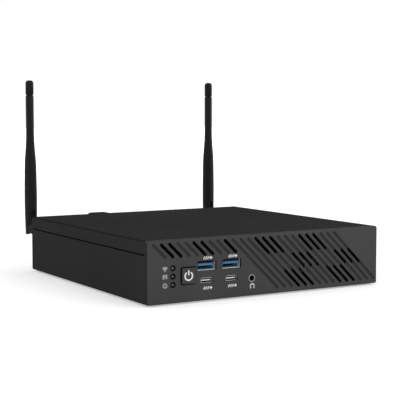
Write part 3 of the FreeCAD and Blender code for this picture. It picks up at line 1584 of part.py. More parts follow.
for name, shape in all_pieces().items():
    shape.exportStep(f"parts/{name}.step")
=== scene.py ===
import math

import bpy
import numpy as np
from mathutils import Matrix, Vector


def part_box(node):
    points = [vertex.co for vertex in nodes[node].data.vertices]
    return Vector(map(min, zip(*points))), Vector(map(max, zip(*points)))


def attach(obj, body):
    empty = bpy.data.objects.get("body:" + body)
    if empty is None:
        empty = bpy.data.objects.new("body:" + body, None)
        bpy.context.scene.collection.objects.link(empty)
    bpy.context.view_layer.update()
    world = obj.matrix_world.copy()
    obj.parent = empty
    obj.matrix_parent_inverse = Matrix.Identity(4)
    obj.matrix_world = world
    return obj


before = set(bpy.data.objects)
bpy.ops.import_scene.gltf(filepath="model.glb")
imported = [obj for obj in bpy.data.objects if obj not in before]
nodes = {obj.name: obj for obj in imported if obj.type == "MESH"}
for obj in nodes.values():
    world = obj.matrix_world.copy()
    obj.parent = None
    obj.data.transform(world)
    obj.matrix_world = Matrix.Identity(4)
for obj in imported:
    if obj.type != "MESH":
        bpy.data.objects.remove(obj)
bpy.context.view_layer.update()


# Camera: it stands off the computer's front left corner, a little above the lid, with the photograph's angle
# of view. It looks slightly down and to the right.

CAMERA_PLACE = (-0.39316, -0.67534, 0.11717)
LOOK_DOWN, LOOK_RIGHT = 4.647, 30.774

camera = bpy.data.objects.new("camera", bpy.data.cameras.new("camera"))
camera.data.lens = 99.712
camera.data.sensor_width = 36.0
camera.data.clip_start = 0.01
camera.data.clip_end = 20.0
camera.location = CAMERA_PLACE
camera.rotation_euler = (math.radians(90 - LOOK_DOWN), 0, math.radians(-LOOK_RIGHT))
bpy.context.scene.collection.objects.link(camera)
bpy.context.scene.camera = camera
bpy.context.scene.view_settings.view_transform = "Standard"


# Studio: a white floor and an even white surround, with a large soft lamp in front and one at each side.
# The floor keeps the computer's soft shadow and is seen as plain white everywhere else.

class Wire:
    """One output of a shader node. Arithmetic with other outputs or plain numbers adds Math nodes."""

    def __init__(self, tree, output=None):
        self.tree, self.output = tree, output

    def node(self, kind, settings=None, out=0, **inputs):
        """Adds any node: its settings, then its sockets, named or numbered as _0, as values or wires."""
        made = self.tree.nodes.new(kind)
        for name, value in (settings or {}).items():
            setattr(made, name, value)
        for name, value in inputs.items():
            socket = made.inputs[int(name[1:]) if name[0] == "_" else name.replace("_", " ")]
            if isinstance(value, Wire):
                self.tree.links.new(value.output, socket)
            else:
                socket.default_value = value
        return Wire(self.tree, made.outputs[out])

    def maths(self, operation, first, second=0.0):
        return self.node("ShaderNodeMath", {"operation": operation}, _0=first, _1=second)

    def __add__(self, other): return self.maths("ADD", self, other)
    def __radd__(self, other): return self.maths("ADD", other, self)
    def __sub__(self, other): return self.maths("SUBTRACT", self, other)
    def __rsub__(self, other): return self.maths("SUBTRACT", other, self)
    def __mul__(self, other): return self.maths("MULTIPLY", self, other)
    def __rmul__(self, other): return self.maths("MULTIPLY", other, self)
    def __pow__(self, other): return self.maths("POWER", self, other)
    def __abs__(self): return self.maths("ABSOLUTE", self)

    def step(self, low, high):
        """0 below low, 1 above high, smooth between."""
        return self.node("ShaderNodeMapRange", {"interpolation_type": "SMOOTHSTEP"}, Value=self,
                         From_Min=low, From_Max=high)

    def mix(self, first, second):
        """Colour that goes from first to second as this goes from 0 to 1."""
        return self.node("ShaderNodeMix", {"data_type": "RGBA"}, out=2, _0=self, _6=first, _7=second)

    def place(self):
        """The point on the piece, and its three parts in millimetres."""
        point = self.node("ShaderNodeTexCoord", out=3)
        made = self.node("ShaderNodeSeparateXYZ", Vector=point).output.node
        return point, *[Wire(self.tree, made.outputs[part]) * 1000.0 for part in range(3)]

    def noise(self, point, scale, detail=2.0):
        return self.node("ShaderNodeTexNoise", Vector=point, Scale=scale, Detail=detail, Roughness=0.5)


def start_material(name, **sockets):
    """New material with constant sockets set. Returns it, a wire to build from and its shader."""
    material = bpy.data.materials.new(name)
    material.use_nodes = True
    tree = material.node_tree
    shader = tree.nodes["Principled BSDF"]
    for socket, value in sockets.items():
        shader.inputs[socket.replace("_", " ")].default_value = value
    return material, Wire(tree), shader


def feed(shader, **wires):
    """Links wires to sockets of a shader. The wire named Bump comes with its distance and strength."""
    tree = shader.id_data
    for socket, value in wires.items():
        if socket == "Bump":
            height, distance, strength = value
            value = height.node("ShaderNodeBump", Height=height, Distance=distance, Strength=strength)
            socket = "Normal"
        tree.links.new(value.output, shader.inputs[socket.replace("_", " ")])


def soft_lamp(name, place, aim, width, height, watts):
    """Rectangular soft light that faces a point."""
    lamp = bpy.data.lights.new(name, "AREA")
    lamp.shape = "RECTANGLE"
    lamp.size, lamp.size_y, lamp.energy = width, height, watts
    made = bpy.data.objects.new(name, lamp)
    made.location = place
    toward = np.array(aim, float) - np.array(place, float)
    turn = math.atan2(-toward[0], toward[1])
    made.rotation_euler = (math.acos(-toward[2] / np.linalg.norm(toward)), 0, turn)
    bpy.context.scene.collection.objects.link(made)


FLOOR_REACH = 6.0
FLOOR_GLOW = 0.39
FLOOR_FADE = (0.3, 1.4)
PAPER_TONE = (0.86, 0.86, 0.86, 1)
SURROUND_TONE = (0.72, 0.72, 0.725, 1)
BLACK, WHITE = (0, 0, 0, 1), (1, 1, 1, 1)

corner = np.array([[-1, -1, 0], [1, -1, 0], [1, 1, 0], [-1, 1, 0]]) * FLOOR_REACH
sheet = bpy.data.meshes.new("floor")
sheet.from_pydata(corner.tolist(), [], [(0, 1, 2, 3)])
floor = bpy.data.objects.new("floor", sheet)
bpy.context.scene.collection.objects.link(floor)
paper, paper_wire, paper_shader = start_material("white_paper", Roughness=1.0, Specular_IOR_Level=0.0,
                                                 Base_Color=PAPER_TONE, Emission_Strength=1.0)
point = paper_wire.node("ShaderNodeTexCoord", out=3)
away = paper_wire.node("ShaderNodeVectorMath", {"operation": "LENGTH"}, out=1, _0=point).step(*FLOOR_FADE)
to_camera = paper_wire.node("ShaderNodeLightPath")
glow = to_camera * (FLOOR_GLOW + (1 - FLOOR_GLOW) * away)
feed(paper_shader, Emission_Color=glow.mix(BLACK, WHITE))
sheet.materials.append(paper)

world = bpy.data.worlds.new("studio")
bpy.context.scene.world = world
world.use_nodes = True
surround = Wire(world.node_tree)
path = surround.node("ShaderNodeLightPath").output.node
rays = [Wire(world.node_tree, path.outputs[f"Is {kind} Ray"])
        for kind in ("Camera", "Glossy", "Transmission")]
seen_white = surround.maths("MINIMUM", rays[0] + rays[1] + rays[2], 1.0)
feed(world.node_tree.nodes["Background"], Color=seen_white.mix(SURROUND_TONE, WHITE))

soft_lamp("front_light", place=(0.7, -1.5, 0.8), aim=(0, -0.1, 0), width=1.2, height=0.9, watts=7)
soft_lamp("right_light", place=(1.6, -0.2, 0.45), aim=(0, 0, 0.06), width=0.8, height=0.7, watts=6)
soft_lamp("left_light", place=(-1.7, 0.1, 0.45), aim=(0, 0, 0), width=1.2, height=0.7, watts=4)


# Case: lower tray with its joggled sides, lid and rear panel, folded from 1 mm steel sheet. All three are
# powder coated a satin black, with the coating's fine orange peel. The lid's bend and the seam are darkened
# with painted shade.

SEAM_DROP, SEAM_HALF = 8.68, 0.5
SEAM_FROM_SIDE = (-1.6, -1.2)
BEND_FROM_SIDE, BEND_FROM_TOP = (-1.5, -0.9), (-1.3, -0.8)
BEND_SHADE_SHARE, SEAM_SHADE_SHARE = 0.4, 0.9
CLOUDING = (0.3, 0.7)


def linear(red, green, blue):
    """Scene colour of a screen colour given from 0 to 255."""
    parts = [c / 255 for c in (red, green, blue)]
    return (*[p / 12.92 if p <= 0.04045 else ((p + 0.055) / 1.055) ** 2.4 for p in parts], 1.0)


def limits(name):
    """Low and high corner of a CAD piece's box, in millimetres."""
    return [np.array(corner) * 1000 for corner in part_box(name)]


def smooth(node, angle=30):
    """Shows a node's curved faces smooth: its corners are welded and its real edges split again."""
    node.data.polygons.foreach_set("use_smooth", np.ones(len(node.data.polygons), bool))
    weld = node.modifiers.new("weld", "WELD")
    weld.merge_threshold = 1e-6
    split = node.modifiers.new("edges", "EDGE_SPLIT")
    split.split_angle = math.radians(angle)


def dress(material, *names):
    """Gives CAD nodes one finish."""
    for name in names:
        node = nodes[name]
        node.data.materials.clear()
        node.data.materials.append(material)
        smooth(node)


side_wall = limits("top_lid")[1][0]
lid_level = limits("front_bezel")[1][2]
powder, coat, coat_shader = start_material("powder_coat", Specular_IOR_Level=0.0)
point, x, y, z = coat.place()
peel = coat.noise(point, 900.0)
cloud = coat.noise(point, 14.0, 3.0)
from_side = abs(x) - side_wall
# Painted shade: the lid's bend and the seam between lid and tray are darkened.
bend_shade = from_side.step(*BEND_FROM_SIDE) * (z - lid_level).step(*BEND_FROM_TOP)
seam_shade = from_side.step(*SEAM_FROM_SIDE) * (SEAM_HALF - abs(z - lid_level + SEAM_DROP)).step(0.0, 0.1)
tone = cloud.step(*CLOUDING).mix(linear(49, 49, 50), linear(52, 52, 53))
feed(coat_shader,
     Base_Color=(BEND_SHADE_SHARE * bend_shade + SEAM_SHADE_SHARE * seam_shade).mix(tone, linear(16, 16, 16)),
     Roughness=0.7 + 0.1 * cloud.step(0.35, 0.65), Bump=(peel, 0.00004, 0.3))
dress(powder, "base_tray", "top_lid", "rear_panel")


# Front bezel: one moulding in dark grey plastic with a fine spark-eroded grain. Painted shade darkens its
# grooves and light wells with their depth, and its flanks, and turns it black deeper in, so that nothing but
# black shows through the open slots.

GROOVE_SHADE = (0.15, 0.85)
SLOT_SHADE = (0.9, 1.8)
OUTER_SKIN = (0.3, 0.9)
FLANK_EDGE, FLANK_DEPTH = (-0.3, -0.1), (0.1, 0.4)
MOULD_GRAIN = 2600.0

bezel_low, bezel_high = limits("front_bezel")
LEFT, FACE, TOP = bezel_low[0], bezel_low[1], bezel_high[2]


def surest(first, second):
    """The larger of two shares."""
    return first.maths("MAXIMUM", first, second)


grain, skin, skin_shader = start_material("grained_plastic", Specular_IOR_Level=0.08)
point, x, y, z = skin.place()
fine = skin.noise(point, MOULD_GRAIN, 1.0)
broad = skin.noise(point, 22.0)
# Painted shade: inside the outer skin, grooves and wells darken with depth and deep parts go black; flanks
# are dark.
inside = ((-LEFT - abs(x)).step(*OUTER_SKIN) * (TOP - z).step(*OUTER_SKIN)
          * (z - bezel_low[2]).step(*OUTER_SKIN))
edge = surest((abs(x) + LEFT).step(*FLANK_EDGE), (z - TOP).step(*FLANK_EDGE))
flank_shade = edge * (y - FACE).step(*FLANK_DEPTH)
tone = flank_shade.mix(broad.step(*CLOUDING).mix(linear(66, 66, 67), linear(71, 71, 72)), linear(34, 34, 35))
groove_shaded_tone = (inside * (y - FACE).step(*GROOVE_SHADE)).mix(tone, linear(54, 54, 55))
feed(skin_shader, Base_Color=(inside * (y - FACE).step(*SLOT_SHADE)).mix(groove_shaded_tone, linear(8, 8, 8)),
     Roughness=0.56 + 0.08 * fine.step(*CLOUDING), Bump=(fine, 0.00003, 0.35))
dress(grain, "front_bezel")


# Power button: a square cap in the same grained plastic, moulded with its flange and stem.
# It slides in the bezel and pushes the switch behind it. Its flanks are dark with painted shade.

CAP_FACE = limits("power_button")[0][1]
CAP_FLANK_SHADE = (0.1, 0.35)

cap_grain, cap, cap_shader = start_material("button_plastic", Specular_IOR_Level=0.12)
point, x, y, z = cap.place()
fine = cap.noise(point, MOULD_GRAIN, 1.0)
tone = cap.noise(point, 30.0).step(*CLOUDING).mix(linear(64, 64, 65), linear(68, 68, 69))
# Painted shade: the cap's flanks behind its face are near black.
feed(cap_shader, Base_Color=(y - CAP_FACE).step(*CAP_FLANK_SHADE).mix(tone, linear(12, 12, 12)),
     Roughness=0.54 + 0.08 * fine.step(*CLOUDING), Bump=(fine, 0.00003, 0.35))
dress(cap_grain, "power_button")


# Printed marks: thin pale ink on the bezel beside the lights, at the sockets and on the button.
# They are plain signs, screen printed after moulding: radio, store, settings, data, headset and power.

INK_RISE, INK_ROOT = 0.02, 0.05


def on_face(across, down):
    """Place on the bezel's face, from its left edge and down from its top."""
    return np.array([LEFT + across, TOP - down])


def stroke(points, width, face):
    """Flat line of ink along points given as (across, up) in mm.

    Half its width at arc length s is sqrt(r^2 - (r - s)^2) near an end, with r half the width, which rounds
    it off. Its section is a rectangle that stands on the face and is rooted in it.
    """
    path = np.array(points, float)
    run = np.concatenate([[0], np.cumsum(np.linalg.norm(np.diff(path, axis=0), axis=1))])
    closed = np.allclose(path[0], path[-1])
    r = width / 2
    ease = r * (1 - np.cos(np.linspace(0, math.pi / 2, 7)))
    places = np.union1d(run, [] if closed else np.concatenate([ease, run[-1] - ease]))
    x = np.interp(places, run, path[:, 0])
    z = np.interp(places, run, path[:, 1])
    dx, dz = np.gradient(x, places), np.gradient(z, places)
    if closed:
        dx[[0, -1]] = (x[1] - x[-2]) / 2
        dz[[0, -1]] = (z[1] - z[-2]) / 2
    length = np.hypot(dx, dz)
    near = np.clip(r - np.minimum(places, run[-1] - places), 0, r)
    half = np.full_like(places, r) if closed else np.sqrt(np.maximum(r * r - near * near, 0))
    side = np.stack([-dz / length, dx / length], 1) * half[:, None]
    across = np.stack([x, z], 1)[:, None] + side[:, None] * np.array([-1, -1, 1, 1])[None, :, None]
    root, crest = face + INK_ROOT, face - INK_RISE
    depth = np.broadcast_to([root, crest, crest, root], across.shape[:2])
    return np.stack([across[..., 0], depth, across[..., 1]], -1) / 1000


def bend(centre, radius, start, end, count=24):
    """Points on an arc, angles in degrees from +X towards +Z."""
    turn = np.radians(np.linspace(start, end, count))
    return centre + radius * np.stack([np.cos(turn), np.sin(turn)], 1)


def grids(name, surfaces, material, body, shaded=False):
    """One object from several grids of points, each joined into quads and closed round its second direction.

    Six times the volume inside is the sum of a . (b x c + c x d) over the quads abcd. Where it is negative
    the quads are turned round, so that their faces point outwards.
    """
    points, quads, start = [], [], 0
    for surface in surfaces:
        rows, count = surface.shape[:2]
        index = np.arange(rows * count).reshape(rows, count)
        index = np.concatenate([index, index[:, :1]], 1)
        quad = np.stack([index[:-1, :-1], index[:-1, 1:], index[1:, 1:], index[1:, :-1]], -1).reshape(-1, 4)
        a, b, c, d = (surface - surface.mean((0, 1))).reshape(-1, 3)[quad].transpose(1, 0, 2)
        outward = (a * (np.cross(b, c) + np.cross(c, d))).sum() > 0
        quads.append(start + (quad if outward else quad[:, ::-1]))
        points.append(surface.reshape(-1, 3))
        start += rows * count
    mesh = bpy.data.meshes.new(name)
    mesh.from_pydata(np.concatenate(points), [], np.concatenate(quads).tolist())
    mesh.materials.append(material)
    made = bpy.data.objects.new(name, mesh)
    bpy.context.scene.collection.objects.link(made)
    if shaded:
        smooth(made, 40)
    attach(made, body)
    return made


def ink(name, dark, light):
    """Matt screen ink, slightly speckled where it takes the grain of the plastic."""
    material, wire, shader = start_material(name, Specular_IOR_Level=0.1)
    point, *_ = wire.place()
    speckle = wire.noise(point, 3000.0, 1.0)
    tone = speckle.step(0.3, 0.6).mix(linear(dark, dark, dark), linear(light, light, light))
    feed(shader, Base_Color=tone, Roughness=0.6 + 0.1 * speckle)
    return material


LIGHTS_ACROSS = 12.1
RADIO_DOWN, STORE_DOWN, GEAR_DOWN = 19.25, 20.6, 27.45
RADIO_ARCS, RADIO_SPREAD = (0.4, 1.2, 2.0, 2.8), (52, 128)
STORE_TOP, STORE_FOOT, STORE_LENGTH = 0.78, 1.05, 2.9
GEAR_RING, GEAR_TOOTH, GEAR_TEETH = 1.2, (1.3, 1.85), 8

radio, store, gear = [on_face(LIGHTS_ACROSS, down) for down in (RADIO_DOWN, STORE_DOWN, GEAR_DOWN)]
marks = [stroke(bend(radio, radius, *RADIO_SPREAD), width=0.85, face=FACE) for radius in RADIO_ARCS]
for side in (-1, 1):
    bar = [store + (side * STORE_TOP, 0), store + (side * STORE_FOOT, -STORE_LENGTH)]
    marks.append(stroke(bar, width=1.35, face=FACE))
marks.append(stroke(bend(gear, GEAR_RING, 0, 360, 33), width=0.95, face=FACE))
for turn in np.radians((np.arange(GEAR_TEETH) + 0.5) * 360 / GEAR_TEETH):
    tooth = gear + np.array(GEAR_TOOTH)[:, None] * [math.cos(turn), math.sin(turn)]
    marks.append(stroke(tooth, width=0.6, face=FACE))
grids("light_marks", marks, ink("grey_ink", 150, 168), "case")

DATA_MARKS = ((41.9, 12.5), (60.0, 12.5), (41.9, 31.0), (59.7, 31.0))
ARROW_HALF, SHAFT_END = 3.2, 2.7
BARB_BACK, BARB_RISE = 2.0, 0.85
SLANT_STARTS, SLANT_RUN, SLANT_RISE = (-2.7, -1.3, 0.1), 0.75, 0.95
HEADSET_MARK = (74.6, 32.6)
BAND_RADIUS, BAND_SPREAD = 1.45, (-15, 195)
EAR_OUT, EAR_TOP, EAR_FOOT = 1.25, -0.6, -1.4

marks = []
for across, down in DATA_MARKS:
    middle = on_face(across, down)
    marks.append(stroke([middle + (-ARROW_HALF, 0), middle + (SHAFT_END, 0)], width=0.55, face=FACE))
    barb = [middle + (BARB_BACK, BARB_RISE), middle + (ARROW_HALF, 0), middle + (BARB_BACK, -BARB_RISE)]
    marks.append(stroke(barb, width=0.6, face=FACE))
    for shift in SLANT_STARTS:
        slant = [middle + (shift, -SLANT_RISE), middle + (shift + SLANT_RUN, SLANT_RISE)]
        marks.append(stroke(slant, width=0.75, face=FACE))
headset = on_face(*HEADSET_MARK)
marks.append(stroke(bend(headset, BAND_RADIUS, *BAND_SPREAD), width=0.6, face=FACE))
for side in (-1, 1):
    ear = [headset + (side * EAR_OUT, EAR_TOP), headset + (side * EAR_OUT, EAR_FOOT)]
    marks.append(stroke(ear, width=1.0, face=FACE))
pale_ink = ink("pale_ink", 222, 238)
grids("socket_marks", marks, pale_ink, "case")

POWER_MARK = (28.0, 22.54)
RING_RADIUS, RING_SPREAD = 2.57, (123, 417)
BAR_FOOT, BAR_TOP = 0.34, 3.6

power = on_face(*POWER_MARK)
marks = [stroke(bend(power, RING_RADIUS, *RING_SPREAD, 48), width=0.95, face=CAP_FACE),
         stroke([power + (0, BAR_FOOT), power + (0, BAR_TOP)], width=0.95, face=CAP_FACE)]
grids("power_mark", marks, pale_ink, "power_button")


# Light pipe: three short rods on one bridge, moulded in a milky plastic that spreads the light of the chips.
# Their tips stand in the wells of the bezel, just behind its face; painted shade makes the wells black.

def finish(name, colour, roughness, metallic=0.0, drift=0.06, scale=60.0, grain=0.0, along=(1, 1, 1),
           **sockets):
    """Finish whose tone and gloss drift over the piece, with a fine grain that may be drawn out one way."""
    material, wire, shader = start_material(name, Metallic=metallic, **sockets)
    point, *_ = wire.place()
    drawn = wire.node("ShaderNodeMapping", Vector=point, Scale=along)
    blotch = wire.node("ShaderNodeTexNoise", Vector=drawn, Scale=scale, Detail=3.0, Roughness=0.55)
    light, dark = [tuple(min(1.0, c * share) for c in colour[:3]) + (1.0,)
                   for share in (1 + drift, 1 - drift)]
    part = blotch.step(*CLOUDING)
    feed(shader, Base_Color=part.mix(dark, light), Roughness=roughness + 0.1 * part)
    if grain:
        feed(shader, Bump=(wire.noise(drawn, scale * 20), 0.00003, grain))
    return material


dress(finish("milky_plastic", linear(96, 98, 100), roughness=0.35, Specular_IOR_Level=0.2), "light_pipe")


# Flat sockets on the front: folded steel shells, plated bright, round a moulded insert with its tongue, blue
# in the large ones and black in the small ones, whose tongues are pale near the mouth. Gold plated contacts
# are pressed into every tongue. The large shells carry painted shade on their rims and a painted highlight on
# their lower lip and right wall, and deep inside a painted blue reflection of their inserts. The blue inserts
# carry painted shade on the tongue's top edge and deeper in.

SHELL_WALL = 0.35
LIP_DROP = (2.3, 2.45)
BLUE_REFLECTION_DEPTH = (1.6, 2.6)
WALL_EDGE, RIM_EDGE, HOLLOW_EDGE = np.array([-0.2, -0.1]), np.array([0.03, 0.08]), (-0.1, -0.05)
TONGUE_DROP, TONGUE_CROWN_SHADE = 0.07, (1.1, 1.4)
INSERT_SHADE, TIP_SHADE = (1.5, 8.0), (1.2, 1.7)


def two_of(kind):
    """Names of the two pieces of a kind, numbered 1 and 2."""
    return [f"{kind}_{number}" for number in (1, 2)]


def middle_of(name, part=0):
    """Middle of a CAD piece's box along X, Y or Z, as part is 0, 1 or 2, in millimetres."""
    return sum(corner[part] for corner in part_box(name)) * 500


def rounded(width, height, r, inset):
    """Outline of a rectangle with rounded corners, drawn in by each inset in turn, as two arrays of rows.

    Corner k is an arc of radius r round (+-(width / 2 - r), +-(height / 2 - r)).
    """
    corner = np.arange(4).repeat(4)
    turn = np.radians(corner * 90 + np.tile(np.linspace(0, 90, 4), 4))
    right, top = np.where((corner == 0) | (corner == 3), 1, -1), np.where(corner < 2, 1, -1)
    inset = np.array(inset)[:, None]
    return (right * (width / 2 - r - inset) + r * np.cos(turn),
            top * (height / 2 - r - inset) + r * np.sin(turn))


def strips(centres, width, ends, level, thick, rounding=0.12):
    """Grids of bars along Y, at depths behind the bezel's face.

    A rounded outline is carried from end to end, drawn in by half its rounding and shut to a point at both.
    """
    r = min(rounding, 0.45 * min(width, thick))
    across, up = rounded(width, thick, r, np.array([1, 1, 0, 0, 1, 1]) * r / 2)
    depth = np.array([ends[0], ends[0], ends[0] + r, ends[1] - r, ends[1], ends[1]])[:, None]
    size = np.array([0, 1, 1, 1, 1, 0])[:, None]
    return [np.stack(np.broadcast_arrays(x + size * across, FACE + depth, level + size * up), -1) / 1000
            for x in centres]


nickel = finish("nickel_plate", linear(188, 190, 192), roughness=0.28, metallic=1.0, scale=300.0,
                grain=0.15, along=(1, 0.08, 1))
dress(nickel, *two_of("front_usb_c_shell"))
pale_gold = finish("pale_gold_plate", linear(226, 218, 200), roughness=0.3, metallic=1.0, scale=200.0)

shell_low, shell_high = limits("front_usb_a_shell_1")
SOCKET_SETBACK = shell_low[1] - FACE
socket_columns = [middle_of(name) for name in two_of("front_usb_a_shell")]
upper, lower = middle_of("front_usb_a_shell_1", 2), middle_of("front_usb_c_shell_1", 2)
inner_side = (shell_high[0] - shell_low[0]) / 2 - SHELL_WALL
inner_roof = (shell_high[2] - shell_low[2]) / 2 - SHELL_WALL
for number, column in enumerate(socket_columns, 1):
    shell, plate, plate_shader = start_material(f"socket_shell_{number}", Roughness=0.35)
    point, x, y, z = plate.place()
    # Painted light: a highlight on the lower lip and right inner wall, painted shade on the other rims,
    # and deep inside a painted blue reflection of the insert.
    highlight_share = surest((upper - z).step(*LIP_DROP), (x - column).step(*(inner_side + WALL_EDGE)))
    shaded_rim = (x - column).step(*(inner_side + RIM_EDGE))
    hollow = ((inner_side - abs(x - column)).step(*HOLLOW_EDGE)
              * (inner_roof - abs(z - upper)).step(*HOLLOW_EDGE))
    blue_reflection = (y - FACE - SOCKET_SETBACK).step(*BLUE_REFLECTION_DEPTH) * hollow
    worn = plate.noise(point, 500.0)
    highlight_tone = worn.step(*CLOUDING).mix(linear(206, 208, 206), linear(222, 223, 221))
    shade_and_reflection = blue_reflection.mix(linear(34, 35, 38), linear(104, 190, 226))
    feed(plate_shader, Base_Color=(highlight_share * (1 - shaded_rim) * (1 - blue_reflection)).mix(shade_and_reflection, highlight_tone),
         Metallic=(0.9 - 0.5 * highlight_share) * (1 - blue_reflection), Bump=(worn, 0.00002, 0.2))
    dress(shell, f"front_usb_a_shell_{number}")

insert, moulding, insert_shader = start_material("blue_insert", Specular_IOR_Level=0.2)
point, x, y, z = moulding.place()
cloud = moulding.noise(point, 160.0, 3.0)
tone = cloud.step(*CLOUDING).mix(linear(74, 118, 146), linear(82, 128, 156))
# Painted shade: the tongue's top edge goes dark navy, and the insert darkens deeper in.
tone = (z - upper).step(*TONGUE_CROWN_SHADE).mix(tone, linear(12, 34, 62))
feed(insert_shader, Base_Color=(y - FACE - SOCKET_SETBACK).step(*INSERT_SHADE).mix(tone, linear(16, 46, 78)),
     Roughness=0.4 + 0.1 * cloud, Bump=(moulding.noise(point, MOULD_GRAIN, 1.0), 0.00002, 0.2))
dress(insert, *two_of("front_usb_a_insert"))

tipped, core, core_shader = start_material("tipped_tongue", Specular_IOR_Level=0.2)
point, x, y, z = core.place()
cloud = core.noise(point, 300.0)
pale = cloud.step(*CLOUDING).mix(linear(232, 232, 228), linear(244, 244, 240))
feed(core_shader, Base_Color=(y - FACE - SOCKET_SETBACK).step(*TIP_SHADE).mix(pale, linear(24, 24, 25)),
     Roughness=0.4 + 0.1 * cloud)
dress(tipped, *two_of("front_usb_c_insert"))

LONG_CONTACTS, SHORT_CONTACTS = np.array([-3.5, -1.0, 1.0, 3.5]), np.arange(-2, 3) * 2.0
LONG_ENDS, SHORT_ENDS = (3.15, 8.95), (1.15, 2.75)
CONTACT_THICK, CONTACT_SHOWS = 0.12, 0.02
SMALL_CONTACTS, SMALL_ENDS, SMALL_RISE = (np.arange(12) - 5.5) * 0.5, (0.85, 5.95), 0.36


def tongue_contacts(x, z, mouth, inward):
    """Four long contacts and five short ones under the tongue of a large flat socket whose middle is at z."""
    level = z - TONGUE_DROP - CONTACT_SHOWS
    long_ends, short_ends = [sorted(mouth + inward * end for end in ends) for ends in (LONG_ENDS, SHORT_ENDS)]
    return (strips(x + LONG_CONTACTS, width=1.0, ends=long_ends, level=level, thick=CONTACT_THICK)
            + strips(x + SHORT_CONTACTS, width=0.6, ends=short_ends, level=level, thick=CONTACT_THICK))


contacts = []
small_ends = [SOCKET_SETBACK + end for end in SMALL_ENDS]
for x in socket_columns:
    contacts += tongue_contacts(x, upper, SOCKET_SETBACK, 1)
    for level in (lower - SMALL_RISE, lower + SMALL_RISE):
        contacts += strips(x + SMALL_CONTACTS, width=0.28, ends=small_ends, level=level, thick=0.06,
                           rounding=0.05)
grids("front_contacts", contacts, pale_gold, "case")


# Headset socket: a black moulded body behind the bezel and a turned collar, nickel plated, that lines its
# hole in the bezel.

black = finish("black_plastic", linear(24, 24, 25), roughness=0.5, grain=0.2, Specular_IOR_Level=0.2)
dress(black, "headset_jack")
turned = finish("turned_nickel", linear(150, 152, 154), roughness=0.3, metallic=1.0, scale=500.0)
dress(turned, "headset_collar")


# Front board: an upright circuit board under dark green solder mask. It carries the light chips and the push
# switch, and three screws hold it.

SOLDER_MASK = (linear(16, 34, 28), 0.35, 0.0)
LIGHT_CHIP = (linear(228, 226, 210), 0.3, 0.0)
CHIP_DEPTH = 0.75


def layered(name, first, second, share):
    """Two finishes on one piece, each a colour, a roughness and a metallic share.

    share(x, y, z) is 0 where the first one lies and 1 where the second one does.
    """
    material, wire, shader = start_material(name)
    point, x, y, z = wire.place()
    part = share(x, y, z)
    blotch = 0.94 + 0.12 * wire.noise(point, 60.0, 3.0)
    tones = [wire.node("ShaderNodeVectorMath", {"operation": "SCALE"}, _0=colour[:3], Scale=blotch)
             for colour in (first[0], second[0])]
    rough, metal = [[first[item], second[item] - first[item]] for item in (1, 2)]
    feed(shader, Base_Color=part.mix(*tones), Roughness=rough[0] + rough[1] * part + 0.05 * blotch,
         Metallic=metal[0] + metal[1] * part)
    return material


chip_back = limits("front_io_board")[0][1] + CHIP_DEPTH
dress(layered("front_board", SOLDER_MASK, LIGHT_CHIP, lambda x, y, z: (chip_back - y).step(0.0, 0.02)),
      "front_io_board")
dress(black, "power_switch")
zinc = finish("zinc_plate", linear(176, 178, 182), roughness=0.3, metallic=1.0, scale=90.0, grain=0.1)
dress(zinc, "front_board_screws")


# Antennas: a whip moulded in matt black elastomer tilts on a steel pin in its knuckle, and the knuckle
# swivels in a fluted sleeve that screws on to the gold plated socket. A nut and washer clamp the socket in
# the panel.

gold = finish("gold_plate", linear(208, 184, 132), roughness=0.3, metallic=1.0, scale=200.0)
rubbery = finish("antenna_plastic", linear(27, 27, 28), roughness=0.45, scale=140.0, grain=0.25,
                 Specular_IOR_Level=0.1)
for side in ("left", "right"):
    dress(rubbery, *[f"antenna_{side}_{piece}" for piece in ("whip", "knuckle", "sleeve")])
    dress(finish(f"pin_steel_{side}", linear(52, 52, 54), roughness=0.4, metallic=0.6), f"antenna_{side}_pin")
    dress(gold, f"antenna_{side}_jack")
dress(gold, "antenna_nuts")


# Rear sockets: power inlet, two video sockets, network socket and two double flat sockets, all soldered
# to the mainboard. Their moulded cores and contacts lie inside bright shields.

EPOXY = (linear(26, 26, 27), 0.5, 0.0)
BRIGHT_METAL = (linear(196, 197, 200), 0.25, 1.0)
NETWORK_HALF, NETWORK_RECESS = 5.95, (0.4, 0.7)
NETWORK_FLOOR, NETWORK_ROOF = (0.8, 0.9), 11.5
VIDEO_HALF, VIDEO_RECESS, VIDEO_RISE, VIDEO_TONGUE_HALF = 5.65, (0.9, 0.95), 4.0, 0.55
INLET_RISE, PIN_EDGE_SQUARED = 5.5, (1.15, 1.25)

BOARD_TOP = limits("rear_usb_shell_1")[0][2]
MOUTH = limits("rear_usb_shell_1")[1][1]
network, inlet = middle_of("network_port"), middle_of("dc_jack")
inlet_level = BOARD_TOP + INLET_RISE
dress(nickel, *two_of("rear_usb_shell"))
blue = finish("blue_plastic", linear(34, 88, 138), roughness=0.42, Specular_IOR_Level=0.3)
dress(blue, *two_of("rear_usb_insert"))
dress(layered("shielded_socket", BRIGHT_METAL, EPOXY,
              lambda x, y, z: (NETWORK_HALF - abs(x - network)).step(0.0, 0.03)
              * (MOUTH - y).step(*NETWORK_RECESS) * (z - BOARD_TOP).step(*NETWORK_FLOOR)
              * (BOARD_TOP + NETWORK_ROOF - z).step(0.0, 0.1)), "network_port")
for number in (1, 2):
    centre = middle_of(f"video_port_{number}")
    dress(layered(f"video_shield_{number}", BRIGHT_METAL, EPOXY,
                  lambda x, y, z: (VIDEO_HALF - abs(x - centre)).step(0.0, 0.03)
                  * (MOUTH - y).step(*VIDEO_RECESS)
                  * (VIDEO_TONGUE_HALF - abs(z - BOARD_TOP - VIDEO_RISE)).step(0.0, 0.03)),
          f"video_port_{number}")
